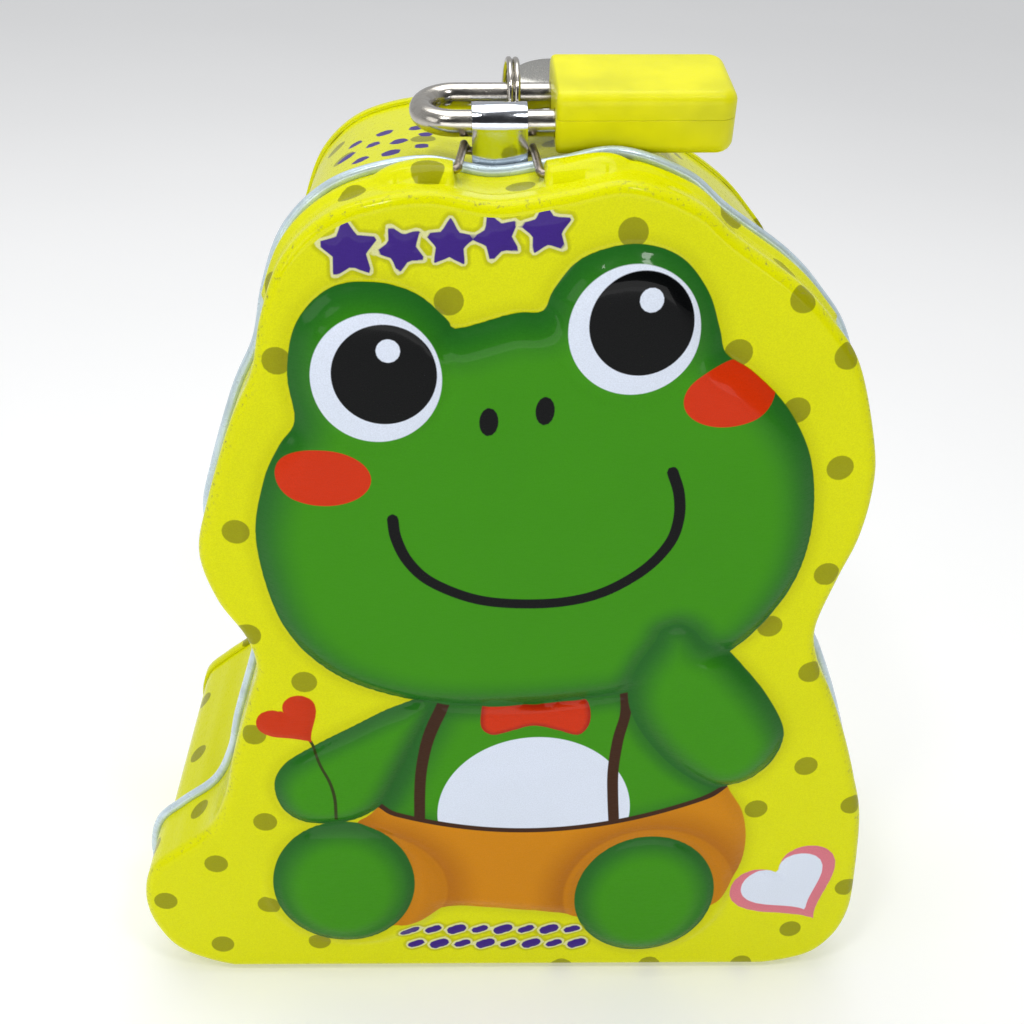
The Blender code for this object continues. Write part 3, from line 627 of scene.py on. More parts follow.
def printed_face():
    """The lid's picture, painted in layers from distance fields stored on the mesh, with painted shade toward the
    pressed shapes' edges and painted shadow around and under them.
    """
    n = Nodes("printed_tin_lid")
    field = {name: n.number(name) for name in FIELD_NAMES}
    colour = n.mix(n.inside(field["dots"]), YELLOW, OLIVE)
    shadow = n.ramp(field["figure"], 2.6, 0.0, 0.0, 0.34, True)
    colour = n.mix(shadow, colour, n.mix(1.0, colour, (0.62, 0.6, 0.5), "MULTIPLY"))

    def paint(mask, ink):
        nonlocal colour
        colour = n.mix(mask, colour, ink)

    # Painted shade: the shape's colour darkens from its inside toward its edge over the given reach.
    def shaded(name, light, dark, reach, low=0.0):
        return n.mix(n.ramp(field[name], -reach, 0.0, low, 1.0, True), light, dark)

    # Painted shade: the trousers darken in the crease outside each leg, and each leg darkens toward its edge.
    trousers = n.mix(n.ramp(field["legs"], 0.0, 7.0, 0.75, 0.0, True), ORANGE, SHADE_ORANGE)
    legs = n.mix(n.ramp(field["legs"], -9.0, -1.0, 0.0, 0.35, True), ORANGE, SHADE_ORANGE)
    trousers = n.mix(n.inside(field["legs"], 0.25), trousers, legs)
    torso = shaded("torso", GREEN, SHADE_GREEN, 7.0)
    # Painted shadow: the torso darkens just below the head and beside the arms.
    torso = n.mix(n.ramp(field["head"], 0.0, 4.0, 0.8, 0.0, True), torso, SHADE_GREEN)
    torso = n.mix(n.ramp(field["arms"], 0.0, 3.0, 0.7, 0.0, True), torso, SHADE_GREEN)
    torso = n.mix(n.inside(field["belly"]), torso, WHITE)
    body = n.mix(n.ramp(field["waist"], -0.07, 0.07), trousers, torso)
    band = n.inside(n.math("SUBTRACT", n.math("ABSOLUTE", field["waist"]), WAIST_HALF))
    brace = n.math("MULTIPLY", n.inside(field["braces"]), n.ramp(field["waist"], -0.5, -0.3))
    body = n.mix(n.math("MAXIMUM", band, brace), body, BROWN)
    paint(n.inside(field["body"]), body)
    paint(n.inside(field["feet"]), shaded("feet", GREEN, SHADE_GREEN, 5.5))
    paint(n.inside(field["arm_left"]), shaded("arm_left", GREEN, SHADE_GREEN, 4.5))
    # Painted shade: the bow tie's red darkens toward its edge.
    paint(n.inside(field["bow"]), shaded("bow", RED, linear(170, 36, 10), 1.2))
    head = shaded("head", GREEN, SHADE_GREEN, 7.5)
    # Painted shadow: the head darkens beside the right arm that lies over it.
    head = n.mix(n.ramp(field["arm_right"], 0.0, 4.5, 0.85, 0.0, True), head, SHADE_GREEN)
    paint(n.inside(field["head"]), head)
    on_head = n.inside(field["head"])
    paint(n.math("MULTIPLY", n.inside(field["cheeks"]), on_head), RED)
    paint(n.inside(field["eye_whites"]), WHITE)
    paint(n.inside(field["pupils"]), BLACK)
    paint(n.inside(field["glints"]), WHITE)
    paint(n.inside(field["lines"]), BLACK)
    paint(n.inside(field["arm_right"]), shaded("arm_right", GREEN, SHADE_GREEN, 6.0))
    stem = n.inside(n.math("SUBTRACT", n.math("ABSOLUTE", field["stem"]), STEM_HALF))
    paint(n.math("MULTIPLY", stem, n.inside(field["stem_end"])), linear(50, 60, 14))
    paint(n.inside(field["hearts"]), linear(206, 54, 10))
    paint(n.inside(field["badge"]), PINK)
    paint(n.inside(field["badge_inside"]), WHITE)
    paint(n.ramp(field["stars"], 1.0, 0.6), n.mix(0.5, colour, OLIVE))
    paint(n.ramp(field["stars"], 0.42, 0.3), PALE_EDGE)
    paint(n.inside(field["stars"]), PURPLE)
    rub = n.noise(n.position(), 1.6, 4.0, 0.65)
    worn = n.math("MULTIPLY", n.ramp(field["rim"], 0.75, 0.1, 0.0, 1.0), n.ramp(rub, 0.56, 0.72))
    paint(worn, linear(150, 148, 70))
    lacquer(n, colour, 0.28)
    return n.material


def printed_wall():
    """Yellow tin with one olive dot at a random place in each cell."""
    n = Nodes("printed_tin_wall")
    at = n.vector("print_at")
    cells = n.vmath("SCALE", at)
    cells.node.inputs["Scale"].default_value = 1 / DOT_CELL
    cell = n.vmath("FLOOR", cells)
    within = n.vmath("FRACTION", cells)
    random = n.add("ShaderNodeTexWhiteNoise", noise_dimensions="2D")
    n.join(cell, random.inputs["Vector"])
    centre = n.vmath("MULTIPLY_ADD", random.outputs["Color"], (0.56, 0.56, 0.0))
    centre.node.inputs[2].default_value = (0.22, 0.22, 0.0)
    flat = n.vmath("MULTIPLY", within, (1.0, 1.0, 0.0))
    gap = n.vmath("DISTANCE", flat, centre)
    dots = n.ramp(gap, DOT_RADIUS / DOT_CELL - 0.006, DOT_RADIUS / DOT_CELL + 0.006, 1.0, 0.0)
    colour = n.mix(dots, YELLOW, OLIVE)
    marks = n.number("marks")
    colour = n.mix(n.inside(marks), colour, PURPLE)
    lacquer(n, colour, 0.3)
    return n.material


def bead_paint():
    n = Nodes("bead_lacquer")
    at = n.position()
    tone = n.noise(at, 0.25, 3.0, 0.6)
    colour = n.mix(n.ramp(tone, 0.4, 0.7), linear(206, 224, 236), linear(186, 204, 214))
    speck = n.noise(at, 3.4, 3.0, 0.6)
    colour = n.mix(n.ramp(speck, 0.66, 0.76, 0.0, 0.55), colour, linear(140, 140, 126))
    n.join(colour, n.shader.inputs["Base Color"])
    n.join(n.ramp(tone, 0.3, 0.7, 0.2, 0.34), n.shader.inputs["Roughness"])
    n.shader.inputs["Metallic"].default_value = 0.25
    n.shader.inputs["Coat Weight"].default_value = 0.5
    n.shader.inputs["Coat Roughness"].default_value = 0.08
    n.join(n.bump(n.noise(at, 0.9, 2.0), 0.3, 0.12), n.shader.inputs["Normal"])
    return n.material


def metal(name, light, dark, roughness, streak=(1.0, 1.0, 1.0), scale=1.2, tarnish=0.35, bumpy=0.15):
    """Bare or plated metal with uneven tone, fine lines and a little tarnish."""
    n = Nodes(name)
    at = n.vmath("MULTIPLY", n.position(), streak)
    cloud = n.noise(at, scale, 4.0, 0.6)
    colour = n.mix(n.ramp(cloud, 0.45, 0.75, 0.0, tarnish), light, dark)
    n.join(colour, n.shader.inputs["Base Color"])
    n.shader.inputs["Metallic"].default_value = 1.0
    n.join(n.ramp(cloud, 0.3, 0.75, roughness * 0.8, roughness * 1.7), n.shader.inputs["Roughness"])
    n.join(n.bump(n.noise(at, scale * 3.0, 3.0, 0.6), bumpy, 0.06), n.shader.inputs["Normal"])
    return n.material


def padlock_plastic():
    n = Nodes("padlock_plastic")
    at = n.position()
    grain = n.noise(at, 3.2, 3.0, 0.7)
    tone = n.noise(at, 0.12, 2.0)
    colour = n.mix(n.ramp(tone, 0.35, 0.7), linear(234, 230, 0), linear(214, 212, 0))
    n.join(colour, n.shader.inputs["Base Color"])
    n.join(n.ramp(grain, 0.3, 0.7, 0.28, 0.46), n.shader.inputs["Roughness"])
    n.shader.inputs["Specular IOR Level"].default_value = 0.3
    n.shader.inputs["Subsurface Weight"].default_value = 0.12
    n.shader.inputs["Subsurface Radius"].default_value = (0.002, 0.002, 0.0004)
    fine = n.bump(grain, 0.35, 0.09)
    n.join(n.bump(n.noise(at, 0.3, 2.0), 0.2, 0.2, fine), n.shader.inputs["Normal"])
    return n.material


def floor_paint():
    n = Nodes("pale_floor")
    at = n.position()
    tone = n.noise(at, 0.004, 3.0)
    colour = n.mix(n.ramp(tone, 0.3, 0.7), (0.79, 0.79, 0.79), (0.76, 0.76, 0.76))
    n.join(colour, n.shader.inputs["Base Color"])
    n.shader.inputs["Roughness"].default_value = 0.7
    n.shader.inputs["Emission Color"].default_value = (1.0, 1.0, 1.0, 1.0)
    n.shader.inputs["Emission Strength"].default_value = 0.28
    return n.material


FIELD_NAMES = (
    "dots", "figure", "legs", "torso", "belly", "waist", "braces", "body", "feet", "arms",
    "arm_left", "bow", "head", "cheeks", "eye_whites", "pupils", "glints", "lines", "arm_right",
    "stem", "stem_end", "hearts", "badge", "badge_inside", "stars", "rim",
)


def print_fields(at):
    """Distance of each place on the face to each shape of the print."""
    fields = {}
    fields["head"] = to_blob(at, HEAD)
    fields["body"] = to_blob(at, BODY)
    fields["arm_left"] = to_blob(at, ARM_LEFT)
    fields["arm_right"] = to_blob(at, ARM_RIGHT)
    fields["feet"] = to_ellipses(at, FEET)
    fields["legs"] = to_ellipses(at, LEGS)
    fields["belly"] = to_ellipse(at, *BELLY)
    fields["bow"] = to_blob(at, BOW)
    fields["cheeks"] = to_ellipses(at, CHEEKS)
    fields["eye_whites"] = to_ellipses(at, EYE_WHITES)
    fields["pupils"] = to_ellipses(at, PUPILS)
    fields["glints"] = to_ellipses(at, GLINTS)
    waist = WAIST_Z + WAIST_BEND * (at[:, 0] - WAIST_X) ** 2
    slope = 2 * WAIST_BEND * (at[:, 0] - WAIST_X)
    fields["waist"] = (at[:, 1] - waist) / np.sqrt(1 + slope**2)
    fields["braces"] = np.min([to_line(at, catmull_rom(line, 6)) for line in BRACES], axis=0) - BRACE_HALF
    mouth = to_line(at, catmull_rom(MOUTH, 6)) - MOUTH_HALF
    fields["lines"] = np.minimum(mouth, to_ellipses(at, NOSTRILS))
    fields["torso"] = np.maximum(fields["body"], -fields["waist"] - 3.0)
    fields["arms"] = np.minimum(fields["arm_left"], fields["arm_right"])
    stem = catmull_rom(STEM, 8)
    fields["stem"] = at[:, 0] - np.interp(at[:, 1], stem[::-1, 1], stem[::-1, 0])
    fields["stem_end"] = np.maximum(at[:, 1] - STEM[0][1], STEM[-1][1] - at[:, 1])
    fields["hearts"] = to_polygon(at, heart(*HEART))
    fields["badge"] = to_polygon(at, heart(*BADGE))
    fields["badge_inside"] = to_polygon(at, heart(*BADGE_INSIDE))
    stars = [to_polygon(at, star(*values)) - 0.25 for values in STARS]
    for row, z in enumerate(DASH_ROWS):
        for i in range(DASH_COUNT):
            x = DASH_X[0] + (DASH_X[1] - DASH_X[0]) * i / (DASH_COUNT - 1) + 1.2 * row
            ends = np.array([(x - 0.8, z - 0.35), (x + 0.8, z + 0.35)])
            stars.append(to_line(at, ends) - (0.75 if (i + row) % 2 else 1.0))
    fields["stars"] = np.min(stars, axis=0)
    figure = [fields[name] for name in ("head", "body", "arms", "feet")]
    fields["figure"] = np.min(figure, axis=0)
    fields["dots"] = face_dot_field(at)
    return fields


def puff(field, height, width):
    """Height of a pressed shape that rises steeply from its edge and levels off."""
    s = np.clip(-field / width, 0, 1)
    return height * s * (2 - s)


def relief(fields, at):
    """How far the pressed picture stands proud, in millimetres."""

    def press(below, field, height, width, groove=0.55, reach=0.9):
        lowered = below * (1 - groove * np.exp(-((field / reach) ** 2)))
        return np.maximum(lowered, puff(field, height, width))

    high = puff(fields["body"], 1.2, 3.5)
    high = press(high, fields["legs"], 1.5, 5.0, 0.3)
    high = press(high, fields["arm_left"], 1.7, 4.5)
    high = press(high, fields["feet"], 2.0, 5.5)
    high = press(high, fields["head"], 2.3, 5.0)
    high = press(high, fields["arm_right"], 2.9, 6.0, 0.3, 1.4)
    high = high + puff(fields["bow"], 0.35, 1.2)
    for x, z, rx, rz in EYE_WHITES:
        k = ((at[:, 0] - x) / (rx + 0.6)) ** 2 + ((at[:, 1] - z) / (rz + 0.6)) ** 2
        high = high + 0.9 * np.clip(1 - k, 0, 1) - 0.22 * np.exp(-((np.sqrt(k) - 1.07) / 0.07) ** 2)
    for name, height, width in (("hearts", 0.5, 1.5), ("badge", 0.5, 1.5), ("stars", 0.3, 0.7)):
        high = np.maximum(high, puff(fields[name], height, width))
    return high


# ---- Lid -----------------------------------------------------------------------------------------


def edge_ring(outward, y, outline=EDGE, normals=EDGE_OUT):
    """The outline moved outward by a distance, at one depth."""
    flat = outline + normals * outward
    return np.column_stack([flat[:, 0], np.full(len(flat), y), flat[:, 1]])


def face_places():
    """Points over the flat of the lid, on a fine triangular grid inside its rounded edge."""
    border = EDGE - EDGE_OUT * LID_EDGE_RADIUS
    low, high = border.min(0), border.max(0)
    rows = np.arange(low[1], high[1], FACE_PITCH * 0.866)
    places = []
    for i, z in enumerate(rows):
        start = low[0] + (FACE_PITCH / 2 if i % 2 else 0.0)
        places.append([(x, z) for x in np.arange(start, high[0], FACE_PITCH)])
    places = np.array([place for row in places for place in row])
    depth = to_polygon(places, border)
    return border, places[depth < -0.3]


def window(values, low, high, soft):
    """1 between two limits, falling smoothly to 0 over a soft length inside them."""
    rise = np.clip((values - low) / soft, 0, 1)
    fall = np.clip((high - values) / soft, 0, 1)
    s = np.minimum(rise, fall)
    return s * s * (3 - 2 * s)


def boss_lift(x, y):
    """Outward lift of the two pressed humps that hold the bail's hooks, and the trough between them."""
    (left0, left1), (right0, right1) = BOSS_X
    middle_y = sum(BOSS_Y) / 2
    half_y = (BOSS_Y[1] - BOSS_Y[0]) / 2 + 1.0
    lift = np.zeros_like(x)
    for tail, mouth in ((left0, left1), (right1, right0)):
        along = (x - mouth) / (tail - mouth)
        round_plan = 1 - np.clip(along, 0, 1.6) ** 2 * 0.32 - ((y - middle_y) / half_y) ** 2
        dome = np.sqrt(np.clip(round_plan, 0, 1))
        dome = dome * dome * (3 - 2 * dome)
        wall = np.clip((along * abs(tail - mouth) + 0.15) / 0.55, 0, 1)
        lift = np.maximum(lift, dome * wall)
    across = window(y, BOSS_Y[0] - 1.4, BOSS_Y[1] + 1.4, 1.6)
    trough = window(x, left1 - 0.2, right0 + 0.2, 1.5) * across * -0.35
    return lift * BOSS_HEIGHT + trough


def make_lid(face_material, inner_material):
    """The pressed cover: its pictured face, rounded edge and skirt, down to the bead."""
    border, inner = face_places()
    flat = [Vector(p) for p in np.vstack([border, inner])]
    count = len(border)
    verts, _, tris, _, _, _ = geometry.delaunay_2d_cdt(flat, [], [list(range(count))], 1, 1e-5)
    at = np.array([(v.x, v.y) for v in verts])
    fields = print_fields(at)
    fields["rim"] = np.full(len(at), 9.0)
    high = relief(fields, at) * np.clip(-to_polygon(at, border) / 1.5, 0, 1)
    points = np.column_stack([at[:, 0], LID_FACE_Y - high, at[:, 1]])
    faces = [tuple(t) for t in tris]
    order = [int(np.argmin(((at - p) ** 2).sum(1))) for p in border]

    rings = [points[order]]
    beyond = []
    rims = []
    for degrees in (15, 30, 45, 60, 75, 90):
        a = math.radians(degrees)
        outward = -LID_EDGE_RADIUS + LID_EDGE_RADIUS * math.sin(a)
        rings.append(edge_ring(outward, LID_FACE_Y + LID_EDGE_RADIUS * (1 - math.cos(a))))
        beyond.append(LID_EDGE_RADIUS * a)
        rims.append(abs(degrees - 50) / 60)
    skirt_start = LID_FACE_Y + LID_EDGE_RADIUS
    cut_y = BEAD_Y - 1.4
    for y in (*np.linspace(skirt_start + 0.6, cut_y, 14), cut_y + 0.7, BEAD_Y):
        ring = edge_ring(0.0, y)
        lift = boss_lift(ring[:, 0], ring[:, 1]) * (ring[:, 2] > TOP_Z)
        ring[:, 0] += EDGE_OUT[:, 0] * lift
        ring[:, 2] += EDGE_OUT[:, 1] * lift
        rings.append(ring)
        beyond.append(LID_EDGE_RADIUS * math.pi / 2 + y - skirt_start)
        rims.append(9.0)
    index = [order]
    total = len(points)
    for ring in rings[1:]:
        index.append(list(range(total, total + count)))
        total += count
    for row in range(len(index) - 1):
        behind_cut = rings[row + 1][0, 1] > cut_y + 0.01
        for i in range(count):
            if behind_cut and AT_STRAP[i]:
                continue
            j = (i + 1) % count
            faces.append((index[row][j], index[row][i], index[row + 1][i], index[row + 1][j]))
    every = np.vstack([points, *rings[1:]])
    lid = new_object("lid_cover", every, faces, face_material)
    lid.data.materials.append(inner_material)

    length = np.tile(EDGE_LENGTH, len(rings) - 1)
    depth = np.concatenate([ring[:, 1] for ring in rings[1:]])
    wrapped = face_dot_field(np.vstack([border + EDGE_OUT * reach for reach in beyond]))
    skirt_dots = np.minimum(wrapped, skirt_dot_field(np.column_stack([length, depth])))
    fields["dots"] = np.concatenate([fields["dots"], skirt_dots])
    fields["rim"] = np.concatenate([fields["rim"], np.repeat(rims, count)])
    fields["rim"][order] = 0.7
    for name in FIELD_NAMES:
        values = fields[name]
        if len(values) < len(every):
            values = np.concatenate([values, np.full(len(every) - len(at), 20.0)])
        put_numbers(lid, name, values)
    shell = solidify(lid, THIN, -1.0, 1)
    shell.use_even_offset = False
    return smooth(apply_modifiers(lid), 50)


def face_dot_field(at):
    return np.min([np.hypot(at[:, 0] - x, at[:, 1] - z) for x, z in FACE_DOTS], axis=0) - DOT_RADIUS


def skirt_dot_field(at):
    """Distance to the olive dots on the lid's skirt, one in each stretch of its length."""
    rng = np.random.default_rng(7)
    best = np.full(len(at), 50.0)
    stretch = 13.5
    for i in range(int(EDGE_LENGTH[-1] / stretch)):
        centre = (i + rng.uniform(0.25, 0.75)) * stretch
        deep = LID_FACE_Y + rng.uniform(4.0, 12.0)
        best = np.minimum(best, np.hypot(at[:, 0] - centre, at[:, 1] - deep))
    return best - DOT_RADIUS


def make_bead(material):
    """The curled edge, with gaps where the hinge straps wrap the pin."""
    angles = np.radians(np.arange(0, 360, 20))
    profile = [(BEAD_OUT + BEAD_RADIUS * math.cos(a), BEAD_Y + BEAD_RADIUS * math.sin(a)) for a in angles]
    rings = np.array([edge_ring(out, y) for out, y in profile])
    sides, count = rings.shape[:2]
    faces = []
    for i in range(count):
        j = (i + 1) % count
        if AT_STRAP[i]:
            continue
        for k in range(sides):
            m = (k + 1) % sides
            faces.append((k * count + i, k * count + j, m * count + j, m * count + i))
        if AT_STRAP[i - 1]:
            faces.append(tuple(k * count + i for k in range(sides)))
        if AT_STRAP[j]:
            faces.append(tuple(k * count + j for k in reversed(range(sides))))
    bead = new_object("lid_bead", rings.reshape(-1, 3), faces, material)
    work = bmesh.new()
    work.from_mesh(bead.data)
    loose = [v for v in work.verts if not v.link_faces]
    bmesh.ops.delete(work, geom=loose, context="VERTS")
    bmesh.ops.recalc_face_normals(work, faces=work.faces)
    work.to_mesh(bead.data)
    work.free()
    return smooth(bead, 60)


# ---- Body ----------------------------------------------------------------------------------------


WALL_MARKS = [
    (-30.0, 4.0, 1.5), (-26.0, 5.0, 1.3), (-22.0, 3.0, 1.5), (-18.0, 5.5, 1.3), (-27.5, -2.0, 1.4),
    (-23.0, -3.0, 1.6), (-18.5, -1.5, 1.3), (-29.0, 10.0, 1.3), (-24.5, 10.5, 1.5), (-19.5, 10.0, 1.4),
]


def make_wall(material, inner_material):
    """The can's wall with the coin slot left open in its top."""
    rows = sorted({*np.linspace(BODY_FRONT_Y, COIN_SLOT_Y[0], 20), *np.linspace(*COIN_SLOT_Y, 6),
                   *np.linspace(COIN_SLOT_Y[1], BACK_Y - 0.6, 12)})
    rings = [edge_ring(-BODY_INSET, y) for y in rows]
    count = len(EDGE)
    across = (EDGE_MIDDLES[:, 0] > COIN_SLOT_X[0]) & (EDGE_MIDDLES[:, 0] < COIN_SLOT_X[1])
    over_slot = (EDGE_MIDDLES[:, 1] > SLOT_LOW_Z) & across
    faces = []
    for row in range(len(rows) - 1):
        deep = COIN_SLOT_Y[0] < (rows[row] + rows[row + 1]) / 2 < COIN_SLOT_Y[1]
        for i in range(count):
            if deep and over_slot[i]:
                continue
            j = (i + 1) % count
            a, b = row * count, (row + 1) * count
            faces.append((a + j, a + i, b + i, b + j))
    wall = new_object("body_print", np.vstack(rings), faces, material)
    wall.data.materials.append(inner_material)
    places = np.vstack(rings)
    length = np.tile(EDGE_LENGTH, len(rows))
    put_print_at(wall, length, places[:, 1])
    marks = np.full(len(places), 20.0)
    for x, y, reach in WALL_MARKS:
        marks = np.minimum(marks, np.hypot(places[:, 0] - x, (places[:, 1] - y)) - reach)
    marks[places[:, 2] < 120] = 20.0
    put_numbers(wall, "marks", marks)
    work = bmesh.new()
    work.from_mesh(wall.data)
    bmesh.ops.delete(work, geom=[v for v in work.verts if not v.link_faces], context="VERTS")
    work.to_mesh(wall.data)
    work.free()
    solidify(wall, SHEET, -1.0, 1)
    return smooth(apply_modifiers(wall), 50)


def put_print_at(obj, length, y):
    field = obj.data.attributes.new("print_at", "FLOAT_VECTOR", "POINT")
    values = np.column_stack([length, y + 100.0, np.zeros(len(length))])
    field.data.foreach_set("vector", values.astype(np.float32).ravel())


def make_back(material, inner_material):
    """The back panel: a dished field, a rounded rim and a fold along the wall."""
    rear = BACK_Y
    inside = -BODY_INSET - SHEET - GAP
    outside = -BODY_INSET + GAP + THIN
    dish = rear - 2.35
    profile = [(inside - 1.0, dish), (inside - 0.4, dish), (inside - 0.1, dish + 0.15), (inside, dish + 0.5)]
    profile += [(inside, rear - 0.6), (inside + 0.17, rear - 0.2), (inside + 0.5, rear)]
    profile += [(outside - 0.5, rear), (outside - 0.17, rear - 0.2), (outside, rear - 0.6), (outside, rear - 2.4)]
    profile += [(outside - 0.1, rear - 2.65), (outside - 0.3, rear - 2.75)]
    profile.append((-BODY_INSET + 0.03, rear - 2.75))
    rings = [edge_ring(out, y) for out, y in profile]
    count = len(EDGE)
    faces = [tuple(reversed(range(count)))]
    for row in range(len(rings) - 1):
        for i in range(count):
            j = (i + 1) % count
            a, b = row * count, (row + 1) * count
            faces.append((a + i, a + j, b + j, b + i))
    back = new_object("back_print", np.vstack(rings), faces, material)
    back.data.materials.append(inner_material)
    places = np.vstack(rings)
    put_print_at(back, places[:, 0] + 200.0, places[:, 2] + 200.0)
    put_numbers(back, "marks", np.full(len(places), 20.0))
    solidify(back, THIN, -1.0, 1)
    return smooth(apply_modifiers(back), 40)


# ---- Hasp and bail -------------------------------------------------------------------------------


def strip(name, path, ends_x, material):
    """A flat strip along a path of (y, z), between two x."""
    points = []
    for y, z in path:
        points += [(ends_x[0], y, z), (ends_x[1], y, z)]
    faces = [(2 * i, 2 * i + 1, 2 * i + 3, 2 * i + 2) for i in range(len(path) - 1)]
    return new_object(name, points, faces, material)


def make_hasp(material):
    """Riveted foot, upright and rolled barrel from one strip of plated steel."""
    roll = BARREL_BORE + HASP_SHEET / 2
    front = BARREL_Y - roll
    bend = 0.8
    path = [(front + 10.0, FOOT_Z), (front + 5.0, FOOT_Z)]
    for degrees in range(0, 91, 15):
        a = math.radians(degrees)
        path.append((front + bend - bend * math.sin(a), FOOT_Z + bend - bend * math.cos(a)))
    for degrees in np.linspace(195, -150, 49):
        a = math.radians(degrees)
        path.append((BARREL_Y + roll * math.cos(a), BARREL_Z + roll * math.sin(a)))
    hasp = strip("hasp_rolled", path, BARREL_X, material)
    solidify(hasp, HASP_SHEET, 0.0)
    apply_modifiers(hasp)
    fix_normals(hasp)
    bevel(hasp, 0.06, 2)
    apply_modifiers(hasp)
    middle = Vector((sum(BARREL_X) / 2, BARREL_Y, BARREL_Z)) * MM
    tilted = Matrix.Translation(middle) @ Matrix.Rotation(-LATCH_ROLL, 4, "Y") @ Matrix.Translation(-middle)
    return into_place(smooth(hasp, 40), tilted)


def make_rivet(name, x, y, material):
    """A domed rivet head above the foot with its swaged tail inside the wall."""
    top = FOOT_Z + HASP_SHEET / 2 + 0.02
    bottom = FOOT_Z - HASP_SHEET / 2 - GAP - SHEET - 0.75
    profile = [
        (0.0, top + 0.62), (0.35, top + 0.6), (0.7, top + 0.5), (1.05, top + 0.3), (1.28, top + 0.05),
        (1.3, top), (0.7, top), (0.7, bottom), (1.3, bottom), (1.2, bottom - 0.2), (0.8, bottom - 0.4),
        (0.0, bottom - 0.45),
    ]
    angles = np.linspace(0, 2 * math.pi, 33)[:-1]
    rings = []
    for radius, z in profile:
        r = max(radius, 0.01)
        rings.append(np.column_stack([x + r * np.cos(angles), y + r * np.sin(angles), np.full(32, z)]))
    return smooth(fix_normals(sweep(name, rings, material, caps=True)), 40)


def make_bail(material):
    """The wire loop, bent smoothly through the same places as the CAD wire."""
    bar_y = BARREL_Y + 0.3
    bar_z = BARREL_Z - BARREL_BORE - HASP_SHEET - GAP - WIRE_RADIUS - 0.3
    room = GAP + WIRE_RADIUS + 0.1
    legs = []
    for hook_x, leg_x, out in ((HOOK_X[0], BARREL_X[0] - room, -1), (HOOK_X[1], BARREL_X[1] + room, 1)):
        half = [
            (hook_x + out * HOOK_LENGTH, HOOK_Y, HOOK_Z),
            (hook_x + out * 1.2, HOOK_Y, HOOK_Z),
            (hook_x + out * 0.4, HOOK_Y + 0.02, HOOK_Z),
            (hook_x, HOOK_Y + 0.5, HOOK_Z + 0.15),
            (hook_x - out * 0.05, HOOK_Y + 1.4, HOOK_Z + 0.35),
            (hook_x * 0.4 + leg_x * 0.6, BEAD_Y, bar_z + 0.8),
            (leg_x, bar_y - 1.6, bar_z + 1.15),
            (leg_x, bar_y - 0.7, bar_z + 1.0),
            (leg_x - out * 0.4, bar_y - 0.15, bar_z + 0.4),
            (leg_x - out * 0.9, bar_y, bar_z),
        ]
        legs += half if out < 0 else half[::-1]
    return tube("bail_wire", catmull_rom(legs, 7), WIRE_RADIUS, material, 16)


# ---- Padlock -------------------------------------------------------------------------------------

LOCK = (
    Matrix.Translation(Vector((0.0, BARREL_Y, LOCK_Z)) * MM)
    @ Matrix.Rotation(-LATCH_ROLL, 4, "Y")
    @ Matrix.Rotation(PADLOCK_TILT, 4, "X")
)


def into_place(obj, matrix):
    obj.data.transform(matrix)
    obj.data.update()
    return obj


def make_shackle(material):
    """The U of round wire, with chamfered ends and the latch's notch in its toe."""
    bend = LEG_SPACING / 2
    line = [(x, 0.0, 0.0) for x in np.linspace(5.5, SHACKLE_STRAIGHT_END, 24)]
    for degrees in np.linspace(-90, -270, 33)[1:-1]:
        a = math.radians(degrees)
        line.append((SHACKLE_STRAIGHT_END + bend * math.cos(a), bend + bend * math.sin(a), 0.0))
    line += [(x, LEG_SPACING, 0.0) for x in np.linspace(SHACKLE_STRAIGHT_END, 13.5, 30)]
    shackle = tube("shackle_wire", line, SHACKLE_RADIUS, material, 28)
    notch = [(1.3, 0.55), (3.0, 0.55), (5.6, 1.07), (5.6, 2.6), (1.3, 2.6)]
    rings = [np.array([(x, y, z) for x, y in notch]) for z in (-2.6, 2.6)]
    cut(shackle, fix_normals(sweep("notch", rings, None, caps=True)))
    bevel(shackle, 0.12, 2, 50)
    apply_modifiers(shackle)
    return into_place(smooth(shackle, 40), LOCK)


def rounded_plan(x0, x1, half_width, left_radius, right_radius):
    """A rectangle with its left and right corners rounded, anticlockwise."""
    points = []
    corners = (
        (x1, -half_width, right_radius, -90), (x1, half_width, right_radius, 0),
        (x0, half_width, left_radius, 90), (x0, -half_width, left_radius, 180),
    )
    for x, y, radius, start in corners:
        sx = 1 if x == x1 else -1
        sy = 1 if y > 0 else -1
        cx, cy = x - sx * radius, y - sy * radius
        for step in range(10):
            a = math.radians(start + 10 * step)
            points.append((cx + radius * math.cos(a), CASE_MIDDLE + cy + radius * math.sin(a)))
    return np.array(points)


